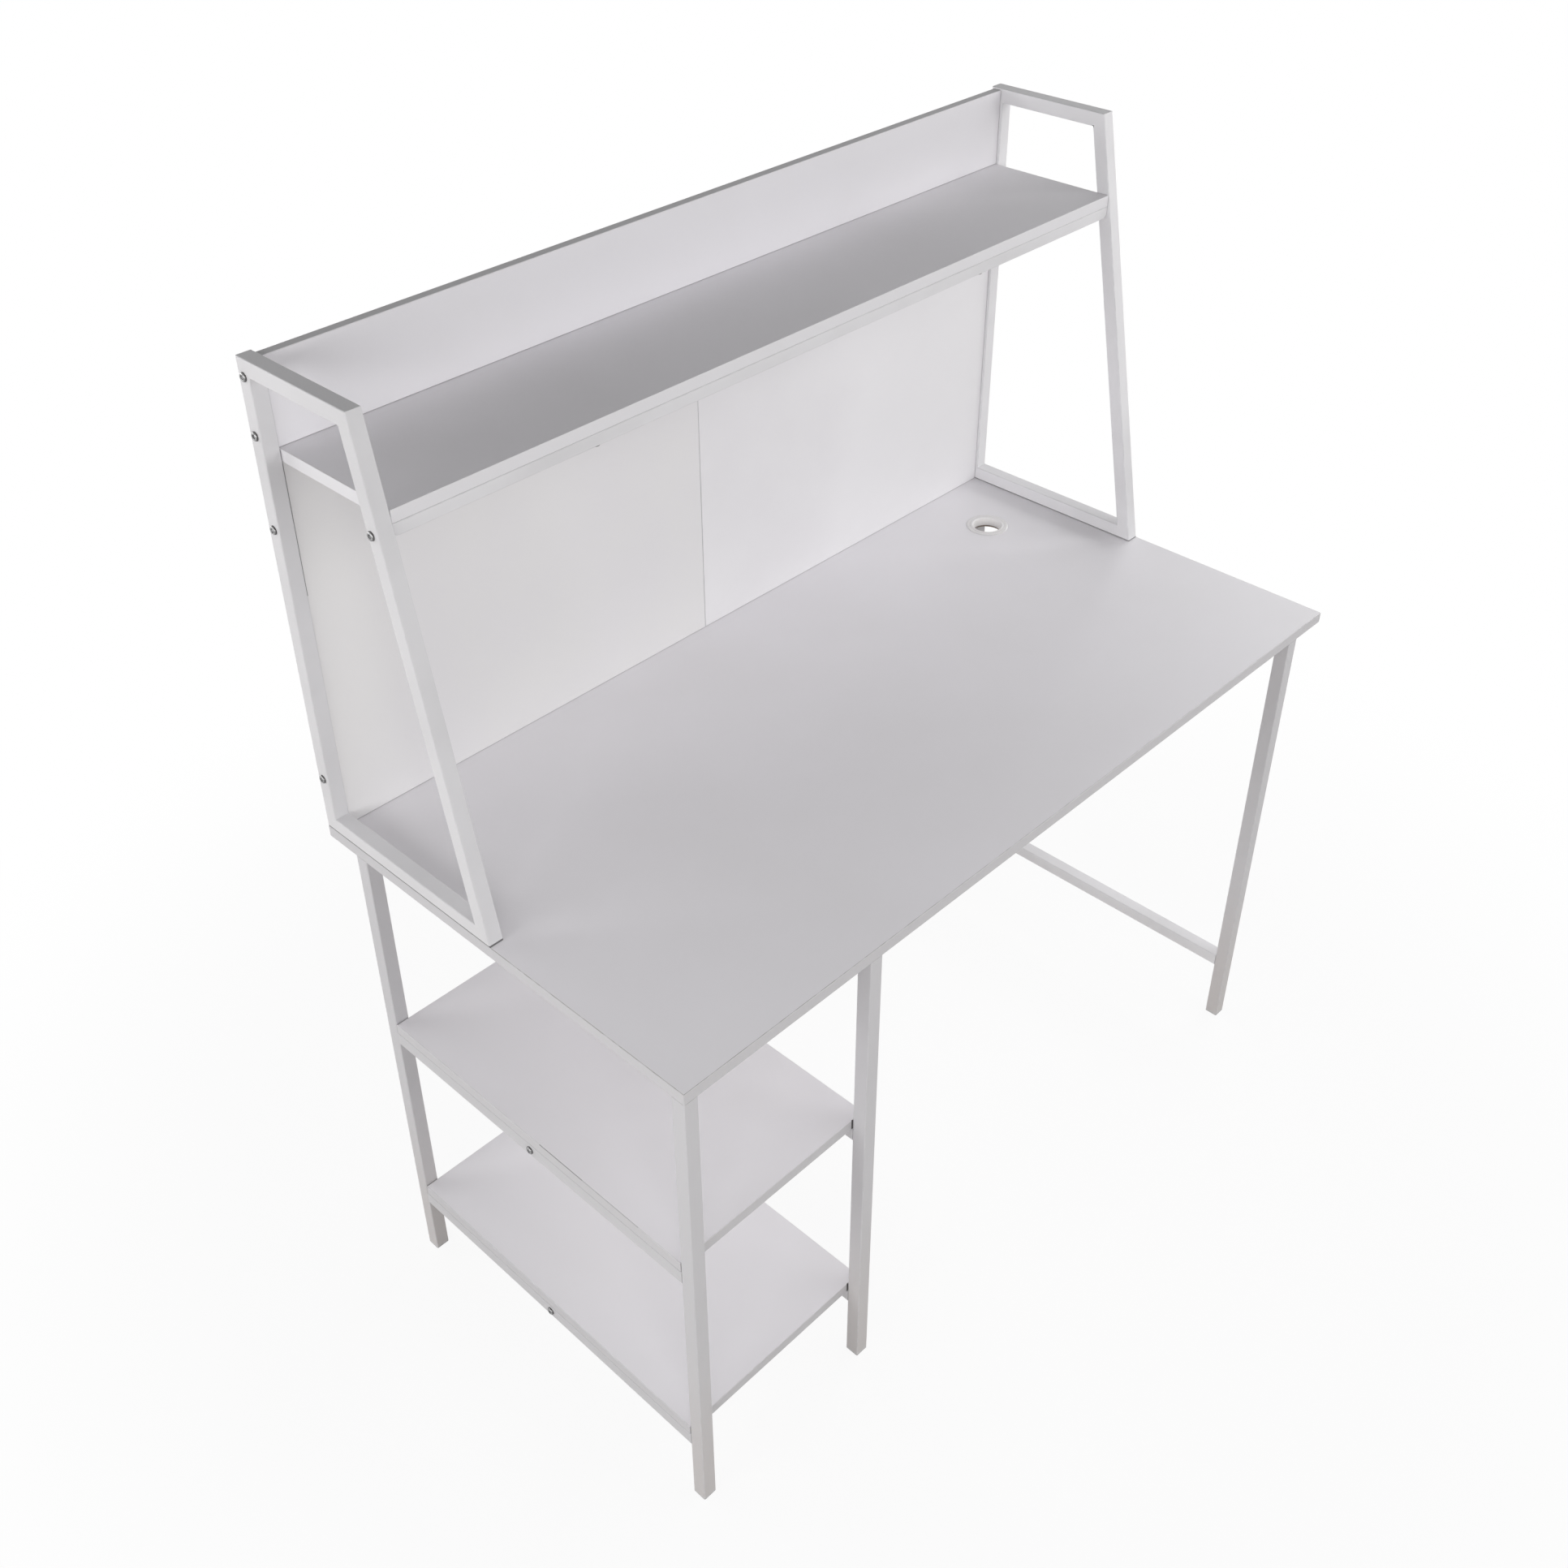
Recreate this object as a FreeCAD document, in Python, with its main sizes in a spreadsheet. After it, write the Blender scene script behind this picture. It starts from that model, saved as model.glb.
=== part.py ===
"""Office desk with a shelf bay on the left and a shelf hutch standing on its back half.

Frame: X to the right, Y to the back, Z up, in millimetres. The origin is on the
floor, midway along the desktop's width and depth. The sitter is on the -Y side.
"""
import FreeCAD
import Part
import Sketcher
import os
import re

SIZES = {
    # Square steel tube, the stock of every frame
    "tube_side": 19,  # outer side of the square tube
    "tube_wall": 1.2,  # wall of the square tube
    "tube_corner": 1.5,  # outer corner radius of the square tube
    # Board, a box with its edge band rounded over
    "band_round": 0.8,  # rounding of the boards' banded edges
    # Machine bolt with a low round head and a hexagon socket
    "bolt_radius": 3,  # machine bolt shank
    "bolt_head_radius": 5.25,  # machine bolt head at its seat
    "bolt_crown_radius": 3.7,  # machine bolt head at its top
    "bolt_head_height": 3.3,  # machine bolt head
    "bolt_socket_radius": 2.31,  # corners of the hexagon socket
    "bolt_socket_depth": 2,  # hexagon socket
    "bolt_grip": 16,  # thread engaged past the tube
    "bolt_clearance": 0.2,  # play of a bolt in its hole, on the radius
    "thread_clearance": 0.1,  # play of a bolt in its thread, on the radius
    # Wood screw with a pan head
    "screw_radius": 2,  # wood screw shank
    "screw_head_radius": 4,  # wood screw head at its seat
    "screw_crown_radius": 3,  # wood screw head at its top
    "screw_head_height": 2.4,  # wood screw head
    "screw_bite": 11,  # wood screw's length in the board
    "screw_tip_room": 0.6,  # room in the hole past the screw's tip
    # Threaded plug pressed into a tube's end
    "plug_clearance": 0.2,  # play of a plug in its tube, on each side
    "plug_spare": 4,  # plug length past the bolt's tip
    # Desktop's overall sizes, which place everything else
    "desk_width": 1200,  # desktop, left to right
    "desk_depth": 600,  # desktop, front to back
    "desk_height": 715,  # floor to the desktop's upper face
    "desktop_thickness": 15,  # desktop board
    # Leg positions: three side frames of two legs each
    "back_leg_inset": 52,  # back legs' back face to the desktop's back edge
    "bay_width": 295,  # shelf bay, outside of its frames
    "right_overhang": 58,  # desktop past the right frame
    # Foot caps: a flat flange under each leg with a plug up into the tube
    "foot_flange": 3,  # foot cap's flange under the leg
    "foot_plug": 15,  # foot cap's plug in the leg
    # Leg tabs: flat bars welded beside the legs' tops and screwed up into the desktop
    "tab_thickness": 3,  # tab beside each leg's top
    "tab_length": 40,  # tab, along the desktop
    "tab_width": 12,  # tab, front to back
    "tab_corner": 1.5,  # tab's rounded corners
    "tab_screw_inset": 9,  # first screw from the tab's free end
    "tab_screw_pitch": 20,  # between the tab's two screws
    # Side rails: tubes between front and back legs, under the shelves and on the right
    "mid_shelf_height": 437,  # floor to the middle shelf's upper face
    "low_shelf_height": 132,  # floor to the low shelf's upper face
    "shelf_thickness": 15,  # bay shelves
    # Shelf stretchers: tubes across the bay under each shelf, bolted through the rails
    "shelf_screw_inset": 60,  # shelf screw from the stretcher's end
    # Bay shelves: boards on the side rails, between the front and back legs
    "shelf_gap": 1,  # bay shelf to the legs, front and back
    # Hutch: overall sizes of its two leaning side frames
    "hutch_height": 590,  # hutch above the desktop
    "hutch_depth": 300,  # hutch side frame at its foot
    "hutch_top_depth": 183,  # hutch side frame at its top
    "upper_panel_height": 100,  # back panel above the hutch shelf
    "upper_panel_drop": 2,  # that panel's top below the frames' top
    "hutch_bolt_front": 60,  # front mounting bolt from the hutch's front
    "hutch_bolt_back": 120,  # back mounting bolt from the hutch's back
    # Desktop: board with the cable hole, the hutch's bolt holes and the legs' screw holes
    "grommet_from_right": 122,  # cable hole's middle to the right edge
    "grommet_from_back": 121,  # cable hole's middle to the back edge
    "grommet_sleeve_radius": 23,  # outside of the grommet's sleeve
    "grommet_clearance": 0.3,  # play of the grommet in the desktop, on the radius
    # Cable grommet: flanged ring set in the desktop's hole
    "grommet_flange_radius": 30.5,  # outside of the grommet's flange
    "grommet_bore_radius": 20.5,  # open bore of the grommet
    "grommet_flange_height": 2.2,  # flange above the desktop
    "grommet_rim_height": 0.9,  # flange at its outer rim
    "grommet_slope_width": 3,  # sloping part of the flange
    "grommet_sleeve_length": 11.5,  # sleeve down into the desktop
    # Hutch mounting: bolts up through the desktop into nuts set in the foot bars
    "nut_radius": 4.8,  # rivet nut in the foot bar
    "nut_length": 10,  # rivet nut in the foot bar
    # Hutch shelf: board across the hutch, its front edge in line with the leaning uprights
    "hutch_shelf_thickness": 15,  # hutch shelf
    "shelf_end_gap": 0.6,  # hutch shelf to the uprights
    "panel_thickness": 12,  # back panels
    # Hutch shelf rail: small tube with solid ends under the shelf's front edge, bolted at both ends
    "shelf_rail_side": 15,  # tube under the hutch shelf's front edge
    "shelf_rail_wall": 1.2,  # wall of that tube
    "rail_end_round": 8,  # lower corners at that tube's solid ends
    "shelf_bolt_inset": 263,  # shelf bolt from the rail's end
    "shelf_bolt_bite": 10,  # shelf bolt's length in the shelf
    # Back panels: one above the shelf and a pair below it, between the back uprights
    "panel_end_gap": 0.4,  # back panel to the uprights
    "seam_gap": 0.3,  # between the two lower panels
    "upper_bolt_inset": 18,  # upper panel's bolts from its edges
    "lower_bolt_inset": 74,  # lower panels' bolts from their edges
    "insert_radius": 4,  # threaded insert in a panel's end
    # Dowels: across the seam of the lower panels, and between the shelf and the panels
    "dowel_radius": 3,  # wood dowels
    "seam_dowel_length": 40,  # dowels across the seam
    "panel_dowel_bite": 21,  # shelf dowels' length in the panel
    "shelf_dowel_bite": 9,  # shelf dowels' length in the shelf
    "dowel_room": 0.5,  # room past a dowel's end
}

doc = FreeCAD.newDocument("OfficeDesk")
sheet = doc.addObject("Spreadsheet::Sheet", "Sizes")
for row, (alias, value) in enumerate(SIZES.items(), start=1):
    sheet.set(f"A{row}", alias)
    sheet.set(f"B{row}", str(value))
    sheet.setAlias(f"B{row}", alias)
doc.recompute()
nodes = []
ZERO = "0"


def bind(formula):
    """Turn a formula of size names into an expression on the sheet."""
    def cell(match):
        word = match.group()
        return f"Sizes.{word}" if word in SIZES else word
    return re.sub(r"[a-z][a-z_]*", cell, formula)


def number(formula):
    """Work a formula out, for the first sketch of an outline."""
    return float(sheet.evalExpression(bind(formula)))


def place(piece, x, y, z):
    """Tie a piece's position to the sheet."""
    piece.setExpression("Placement.Base.x", bind(x))
    piece.setExpression("Placement.Base.y", bind(y))
    piece.setExpression("Placement.Base.z", bind(z))


def new_body(label, x, y, z):
    """Start a piece whose own zero corner stands at x, y, z."""
    body = doc.addObject("PartDesign::Body", label)
    place(body, x, y, z)
    nodes.append(body)
    return body


def new_sketch(body, role, lift=None):
    """Lay a sketch on one of the body's own planes, lifted along its normal."""
    plane = [p for p in body.Origin.OriginFeatures if p.Role == role][0]
    sketch = body.newObject("Sketcher::SketchObject", f"{body.Label}_sketch")
    sketch.AttachmentSupport = [(plane, "")]
    sketch.MapMode = "FlatFace"
    if lift:
        sketch.setExpression("AttachmentOffset.Base.z", bind(lift))
    return sketch


def pin(sketch, curve, end, x, y):
    """Dimension a point of a curve from the sketch's zero point."""
    for kind, axis, formula in (("DistanceX", -2, x), ("DistanceY", -1, y)):
        if formula == ZERO:
            sketch.addConstraint(Sketcher.Constraint("PointOnObject", curve, end, axis))
        else:
            span = Sketcher.Constraint(kind, -1, 1, curve, end, number(formula))
            index = sketch.addConstraint(span)
            sketch.setExpression(f"Constraints[{index}]", bind(formula))


def outline(sketch, points):
    """Draw a closed outline through points given as formulas."""
    spots = [FreeCAD.Vector(number(x), number(y), 0) for x, y in points]
    for start, end in zip(spots, spots[1:] + spots[:1]):
        sketch.addGeometry(Part.LineSegment(start, end), False)
    for i in range(len(points)):
        after = (i + 1) % len(points)
        sketch.addConstraint(Sketcher.Constraint("Coincident", i, 2, after, 1))
    for i, (x, y) in enumerate(points):
        pin(sketch, i, 1, x, y)


def rectangle(x_from, y_from, x_to, y_to):
    """Corners of a rectangle, counter-clockwise."""
    return [(x_from, y_from), (x_to, y_from), (x_to, y_to), (x_from, y_to)]


def pad(body, sketch, length, backwards=False):
    """Push a sketch out into a solid."""
    feature = body.newObject("PartDesign::Pad", f"{body.Label}_pad")
    feature.Profile = sketch
    feature.setExpression("Length", bind(length))
    feature.Reversed = backwards
    feature.recompute(True)
    return feature


def pocket(body, sketch, length=None, backwards=False):
    """Cut a sketch into the solid, right through where no length is given."""
    feature = body.newObject("PartDesign::Pocket", f"{body.Label}_pocket")
    feature.Profile = sketch
    if length:
        feature.setExpression("Length", bind(length))
    else:
        feature.Type = "ThroughAll"
    feature.Reversed = backwards
    return feature


def round_edges(body, base, radius, along=None, lowest=False):
    """Round the edges that run along a direction, or all edges, or the lowest ones."""
    names = []
    for index, edge in enumerate(base.Shape.Edges):
        run = edge.Vertexes[-1].Point - edge.Vertexes[0].Point
        if along is not None and run.normalize().cross(along).Length > PARALLEL_SHARE:
            continue
        if lowest and edge.BoundBox.ZMax > base.Shape.BoundBox.Center.z:
            continue
        names.append(f"Edge{index + 1}")
    fillet = body.newObject("PartDesign::Fillet", f"{body.Label}_rounding")
    fillet.Base = (base, names)
    fillet.setExpression("Radius", bind(radius))
    return fillet


def drill(body, role, points, radius, length=None, backwards=False, lift=None):
    """Drill a row of round holes from one of the body's planes."""
    sketch = new_sketch(body, role, lift)
    for i, (x, y) in enumerate(points):
        centre = FreeCAD.Vector(number(x), number(y), 0)
        axis = FreeCAD.Vector(0, 0, 1)
        sketch.addGeometry(Part.Circle(centre, axis, number(radius)), False)
        index = sketch.addConstraint(Sketcher.Constraint("Radius", i, number(radius)))
        sketch.setExpression(f"Constraints[{index}]", bind(radius))
        pin(sketch, i, 3, x, y)
    return pocket(body, sketch, length, backwards)


PARALLEL_SHARE = 0.001
ALONG_X = FreeCAD.Vector(1, 0, 0)
ALONG_Y = FreeCAD.Vector(0, 1, 0)
ALONG_Z = FreeCAD.Vector(0, 0, 1)


# Square steel tube, the stock of every frame
TUBE_MIDDLE = "(tube_side / 2)"
TUBE_VOID = "(tube_side - 2 * tube_wall)"


def upright_tube(label, at, outer, void, along):
    """Tube whose side view is drawn in the YZ plane, with its hollow."""
    body = new_body(label, *at)
    profile = new_sketch(body, "YZ_Plane")
    outline(profile, outer)
    bar = pad(body, profile, "tube_side")
    round_edges(body, bar, "tube_corner", along)
    hollow = new_sketch(body, "YZ_Plane", "tube_side - tube_wall")
    outline(hollow, void)
    pocket(body, hollow, TUBE_VOID)
    return body


def cross_tube(label, at, length, side, wall):
    """Straight tube along X."""
    body = new_body(label, *at)
    profile = new_sketch(body, "XZ_Plane")
    outline(profile, rectangle(ZERO, ZERO, length, side))
    bar = pad(body, profile, side, True)
    round_edges(body, bar, "tube_corner", ALONG_X)
    hollow = new_sketch(body, "XZ_Plane", f"-{wall}")
    outline(hollow, rectangle(ZERO, wall, length, f"({side} - {wall})"))
    pocket(body, hollow, f"({side} - 2 * {wall})")
    return body


# Board, a box with its edge band rounded over


def board(label, at, width, depth, height):
    """Board with all its edges rounded."""
    body = new_body(label, *at)
    profile = new_sketch(body, "XY_Plane")
    outline(profile, rectangle(ZERO, ZERO, width, depth))
    slab = pad(body, profile, height)
    round_edges(body, slab, "band_round")
    return body


# Machine bolt with a low round head and a hexagon socket
BOLT_HOLE = "(bolt_radius + bolt_clearance)"
THREAD_HOLE = "(bolt_radius + thread_clearance)"
SOCKET_SIDE_COUNT = 6
TURN = {
    "+x": FreeCAD.Rotation(FreeCAD.Vector(0, 1, 0), 90),
    "-x": FreeCAD.Rotation(FreeCAD.Vector(0, 1, 0), -90),
    "+z": FreeCAD.Rotation(),
}


def shift(at, way, distance):
    """Move a point along a bolt's way by a distance."""
    x, y, z = at
    if way == "+x":
        return (f"({x} + {distance})", y, z)
    if way == "-x":
        return (f"({x} - {distance})", y, z)
    return (x, y, f"({z} + {distance})")


def solid(kind, way, at, sizes):
    """One primitive turned along a way, its sizes bound to the sheet."""
    piece = doc.addObject(kind, "piece")
    piece.Placement = FreeCAD.Placement(FreeCAD.Vector(), TURN[way])
    for name, formula in sizes.items():
        piece.setExpression(name, bind(formula))
    place(piece, *at)
    return piece


def join(kind, base, tool):
    """Fuse or cut two solids."""
    result = doc.addObject(kind, "joined")
    result.Base = base
    result.Tool = tool
    return result


def bolt(way, seat, length):
    """Machine bolt whose head sits on the point called seat."""
    top = shift(seat, way, "-bolt_head_height")
    head = solid("Part::Cone", way, top, {
        "Radius1": "bolt_crown_radius",
        "Radius2": "bolt_head_radius",
        "Height": "bolt_head_height",
    })
    shank = solid("Part::Cylinder", way, seat, {
        "Radius": "bolt_radius",
        "Height": length,
    })
    socket = solid("Part::Prism", way, top, {
        "Circumradius": "bolt_socket_radius",
        "Height": "bolt_socket_depth",
    })
    socket.Polygon = SOCKET_SIDE_COUNT
    return join("Part::Cut", join("Part::Fuse", head, shank), socket)


def group(label, pieces):
    """Set of like pieces kept under one name."""
    compound = doc.addObject("Part::Compound", label)
    compound.Links = pieces
    nodes.append(compound)
    return compound


# Wood screw with a pan head
SCREW_HOLE = "(screw_radius + thread_clearance)"
SCREW_DEPTH = "(screw_bite + screw_tip_room)"


def screw(seat, length):
    """Wood screw driven upwards, its head under the point called seat."""
    top = shift(seat, "+z", "-screw_head_height")
    head = solid("Part::Cone", "+z", top, {
        "Radius1": "screw_crown_radius",
        "Radius2": "screw_head_radius",
        "Height": "screw_head_height",
    })
    shank = solid("Part::Cylinder", "+z", seat, {
        "Radius": "screw_radius",
        "Height": length,
    })
    return join("Part::Fuse", head, shank)


# Threaded plug pressed into a tube's end
PLUG_LENGTH = "(bolt_grip + plug_spare)"


def plug(x, y_middle, z_middle, side):
    """Square plug along X with a threaded bore right through it."""
    corner = (x, f"({y_middle} - {side} / 2)", f"({z_middle} - {side} / 2)")
    block = doc.addObject("Part::Box", "block")
    block.setExpression("Length", bind(PLUG_LENGTH))
    block.setExpression("Width", bind(side))
    block.setExpression("Height", bind(side))
    place(block, *corner)
    bore = solid("Part::Cylinder", "+x", (x, y_middle, z_middle), {
        "Radius": THREAD_HOLE,
        "Height": PLUG_LENGTH,
    })
    return join("Part::Cut", block, bore)


def sleeve(way, at, radius, length):
    """Round threaded insert with an open bore."""
    outer = solid("Part::Cylinder", way, at, {"Radius": radius, "Height": length})
    bore = solid("Part::Cylinder", way, at, {"Radius": THREAD_HOLE, "Height": length})
    return join("Part::Cut", outer, bore)


# Desktop's overall sizes, which place everything else
LEFT = "(-desk_width / 2)"
RIGHT = "(desk_width / 2)"
FRONT = "(-desk_depth / 2)"
BACK = "(desk_depth / 2)"
UNDERSIDE = "(desk_height - desktop_thickness)"


# Leg positions: three side frames of two legs each
FRAME_X = {
    "left": LEFT,
    "middle": f"({LEFT} + bay_width - tube_side)",
    "right": f"({RIGHT} - right_overhang - tube_side)",
}
ROW_Y = {
    "front": FRONT,
    "back": f"({BACK} - back_leg_inset - tube_side)",
}


# Foot caps: a flat flange under each leg with a plug up into the tube
FOOT_NEAR = "(tube_wall + plug_clearance)"
FOOT_FAR = "(tube_side - tube_wall - plug_clearance)"
for frame, x in FRAME_X.items():
    for row, y in ROW_Y.items():
        cap = new_body(f"foot_cap_{frame}_{row}", x, y, ZERO)
        flange = new_sketch(cap, "XY_Plane")
        outline(flange, rectangle(ZERO, ZERO, "tube_side", "tube_side"))
        base = pad(cap, flange, "foot_flange")
        round_edges(cap, base, "tube_corner", ALONG_Z)
        stem = new_sketch(cap, "XY_Plane")
        outline(stem, rectangle(FOOT_NEAR, FOOT_NEAR, FOOT_FAR, FOOT_FAR))
        pad(cap, stem, "foot_flange + foot_plug")


# Legs: plain tubes from the foot cap up to the desktop
LEG_LENGTH = f"({UNDERSIDE} - foot_flange)"
legs = {}
for frame, x in FRAME_X.items():
    for row, y in ROW_Y.items():
        legs[frame, row] = upright_tube(
            f"leg_{frame}_{row}",
            (x, y, "foot_flange"),
            rectangle(ZERO, ZERO, "tube_side", LEG_LENGTH),
            rectangle("tube_wall", ZERO, "(tube_side - tube_wall)", LEG_LENGTH),
            ALONG_Z,
        )
BACK_BOLT_SPOT = [(TUBE_MIDDLE, f"({LEG_LENGTH} - {TUBE_MIDDLE})")]
for frame in ("middle", "right"):
    drill(legs[frame, "back"], "YZ_Plane", BACK_BOLT_SPOT, BOLT_HOLE, None, True)


# Leg tabs: flat bars welded beside the legs' tops and screwed up into the desktop
TAB_Z = f"({UNDERSIDE} - tab_thickness)"
SCREW_STEPS = (0, 1)
tab_screw_spots = []
for frame, x in FRAME_X.items():
    reaches_left = frame == "middle"
    start = f"({x} - tab_length)" if reaches_left else f"({x} + tube_side)"
    for row, y in ROW_Y.items():
        tab_y = f"({y} + {TUBE_MIDDLE} - tab_width / 2)"
        tab = new_body(f"leg_tab_{frame}_{row}", start, tab_y, TAB_Z)
        profile = new_sketch(tab, "XY_Plane")
        outline(profile, rectangle(ZERO, ZERO, "tab_length", "tab_width"))
        bar = pad(tab, profile, "tab_thickness")
        round_edges(tab, bar, "tab_corner", ALONG_Z)
        spots = []
        for step in SCREW_STEPS:
            inset = f"(tab_screw_inset + {step} * tab_screw_pitch)"
            along = inset if reaches_left else f"(tab_length - {inset})"
            spots.append((along, "(tab_width / 2)"))
            tab_screw_spots.append((f"({start} + {along})", f"({y} + {TUBE_MIDDLE})"))
        drill(tab, "XY_Plane", spots, SCREW_HOLE, None, True)
group("leg_tab_screws", [
    screw((x, y, TAB_Z), "(tab_thickness + screw_bite)") for x, y in tab_screw_spots
])


# Side rails: tubes between front and back legs, under the shelves and on the right
RAIL_LENGTH = "(desk_depth - back_leg_inset - 2 * tube_side)"
RAIL_MIDDLE = f"({RAIL_LENGTH} / 2)"
RAIL_Y = f"({FRONT} + tube_side)"
RAIL_Z = {
    "mid": "(mid_shelf_height - shelf_thickness - tube_side)",
    "low": "(low_shelf_height - shelf_thickness - tube_side)",
}


def side_rail(frame, level):
    """Rail of one side frame at one shelf's level."""
    return upright_tube(
        f"side_rail_{frame}_{level}",
        (FRAME_X[frame], RAIL_Y, RAIL_Z[level]),
        rectangle(ZERO, ZERO, RAIL_LENGTH, "tube_side"),
        rectangle(ZERO, "tube_wall", RAIL_LENGTH, "(tube_side - tube_wall)"),
        ALONG_Y,
    )


side_rail("right", "low")
for frame in ("left", "middle"):
    for level in RAIL_Z:
        rail = side_rail(frame, level)
        drill(rail, "YZ_Plane", [(RAIL_MIDDLE, TUBE_MIDDLE)], BOLT_HOLE, None, True)


# Shelf stretchers: tubes across the bay under each shelf, bolted through the rails
STRETCHER_LENGTH = "(bay_width - 2 * tube_side)"
STRETCHER_X = f"({LEFT} + tube_side)"
STRETCHER_Y = f"({RAIL_Y} + {RAIL_MIDDLE} - {TUBE_MIDDLE})"
STRETCHER_MIDDLE_Y = f"({RAIL_Y} + {RAIL_MIDDLE})"
PLUG_SIDE = f"({TUBE_VOID} - 2 * plug_clearance)"
SHELF_SCREW_X = ("shelf_screw_inset", f"({STRETCHER_LENGTH} - shelf_screw_inset)")
RAIL_BOLT_LENGTH = "(tube_side + bolt_grip)"
tube_plugs = []
shelf_screws = []
stretcher_bolts = []
for level, z in RAIL_Z.items():
    stretcher = cross_tube(
        f"shelf_stretcher_{level}",
        (STRETCHER_X, STRETCHER_Y, z),
        STRETCHER_LENGTH,
        "tube_side",
        "tube_wall",
    )
    spots = [(x, TUBE_MIDDLE) for x in SHELF_SCREW_X]
    drill(stretcher, "XY_Plane", spots, SCREW_HOLE, None, True)
    middle_z = f"({z} + {TUBE_MIDDLE})"
    far_end = f"({STRETCHER_X} + {STRETCHER_LENGTH} - {PLUG_LENGTH})"
    for x in (STRETCHER_X, far_end):
        tube_plugs.append(plug(x, STRETCHER_MIDDLE_Y, middle_z, PLUG_SIDE))
    for x in SHELF_SCREW_X:
        seat = (f"({STRETCHER_X} + {x})", STRETCHER_MIDDLE_Y, z)
        shelf_screws.append(screw(seat, "(tube_side + screw_bite)"))
    left_seat = (LEFT, STRETCHER_MIDDLE_Y, middle_z)
    right_seat = (f"({LEFT} + bay_width)", STRETCHER_MIDDLE_Y, middle_z)
    stretcher_bolts.append(bolt("+x", left_seat, RAIL_BOLT_LENGTH))
    stretcher_bolts.append(bolt("-x", right_seat, RAIL_BOLT_LENGTH))
group("shelf_stretcher_bolts", stretcher_bolts)
group("shelf_screws", shelf_screws)


# Back stretcher: tube under the desktop between the middle and right back legs
BACK_STRETCHER_X = f"({FRAME_X['middle']} + tube_side)"
BACK_STRETCHER_LENGTH = f"({FRAME_X['right']} - {FRAME_X['middle']} - tube_side)"
BACK_STRETCHER_Z = f"({UNDERSIDE} - tube_side)"
BACK_BOLT_Y = f"({ROW_Y['back']} + {TUBE_MIDDLE})"
BACK_BOLT_Z = f"({UNDERSIDE} - {TUBE_MIDDLE})"
cross_tube(
    "back_stretcher",
    (BACK_STRETCHER_X, ROW_Y["back"], BACK_STRETCHER_Z),
    BACK_STRETCHER_LENGTH,
    "tube_side",
    "tube_wall",
)
back_far_end = f"({FRAME_X['right']} - {PLUG_LENGTH})"
for x in (BACK_STRETCHER_X, back_far_end):
    tube_plugs.append(plug(x, BACK_BOLT_Y, BACK_BOLT_Z, PLUG_SIDE))
group("stretcher_plugs", tube_plugs)
back_right_face = f"({FRAME_X['right']} + tube_side)"
group("back_stretcher_bolts", [
    bolt("+x", (FRAME_X["middle"], BACK_BOLT_Y, BACK_BOLT_Z), RAIL_BOLT_LENGTH),
    bolt("-x", (back_right_face, BACK_BOLT_Y, BACK_BOLT_Z), RAIL_BOLT_LENGTH),
])


# Bay shelves: boards on the side rails, between the front and back legs
SHELF_Y = f"({RAIL_Y} + shelf_gap)"
SHELF_DEPTH = f"({RAIL_LENGTH} - 2 * shelf_gap)"
for level, height in (("mid", "mid_shelf_height"), ("low", "low_shelf_height")):
    shelf_z = f"({height} - shelf_thickness)"
    shelf = board(
        f"bay_shelf_{level}",
        (LEFT, SHELF_Y, shelf_z),
        "bay_width",
        SHELF_DEPTH,
        "shelf_thickness",
    )
    spots = [(f"(tube_side + {x})", f"({SHELF_DEPTH} / 2)") for x in SHELF_SCREW_X]
    drill(shelf, "XY_Plane", spots, SCREW_HOLE, SCREW_DEPTH, True)


# Hutch: overall sizes of its two leaning side frames
SHELF_RISE = "(hutch_height - upper_panel_height - upper_panel_drop)"
LEAN = "((hutch_depth - hutch_top_depth) / hutch_height)"
LEAN_STRETCH = f"sqrt(1 + {LEAN} ^ 2)"
HUTCH_Y = f"({BACK} - hutch_depth)"
HUTCH_X = {"left": LEFT, "right": f"({RIGHT} - tube_side)"}
MOUNT_BOLT_Y = ("hutch_bolt_front", "(hutch_depth - hutch_bolt_back)")


# Desktop: board with the cable hole, the hutch's bolt holes and the legs' screw holes
GROMMET_HOLE = "(grommet_sleeve_radius + grommet_clearance)"
desktop = board("desktop", (LEFT, FRONT, UNDERSIDE), "desk_width", "desk_depth", "desktop_thickness")
drill(
    desktop,
    "XY_Plane",
    [("(desk_width - grommet_from_right)", "(desk_depth - grommet_from_back)")],
    GROMMET_HOLE,
    None,
    True,
)
mount_spots = [
    (x, f"(desk_depth - hutch_depth + {y})")
    for x in (TUBE_MIDDLE, f"(desk_width - {TUBE_MIDDLE})")
    for y in MOUNT_BOLT_Y
]
drill(desktop, "XY_Plane", mount_spots, BOLT_HOLE, None, True)
screw_spots = [(f"({x} - {LEFT})", f"({y} - {FRONT})") for x, y in tab_screw_spots]
drill(desktop, "XY_Plane", screw_spots, SCREW_HOLE, SCREW_DEPTH, True)


# Cable grommet: flanged ring set in the desktop's hole
grommet = new_body(
    "cable_grommet",
    f"({RIGHT} - grommet_from_right)",
    f"({BACK} - grommet_from_back)",
    "(desk_height - grommet_sleeve_length)",
)
ring = new_sketch(grommet, "XZ_Plane")
outline(ring, [
    ("grommet_bore_radius", ZERO),
    ("grommet_sleeve_radius", ZERO),
    ("grommet_sleeve_radius", "grommet_sleeve_length"),
    ("grommet_flange_radius", "grommet_sleeve_length"),
    ("grommet_flange_radius", "(grommet_sleeve_length + grommet_rim_height)"),
    (
        "(grommet_flange_radius - grommet_slope_width)",
        "(grommet_sleeve_length + grommet_flange_height)",
    ),
    ("grommet_bore_radius", "(grommet_sleeve_length + grommet_flange_height)"),
])
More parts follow.
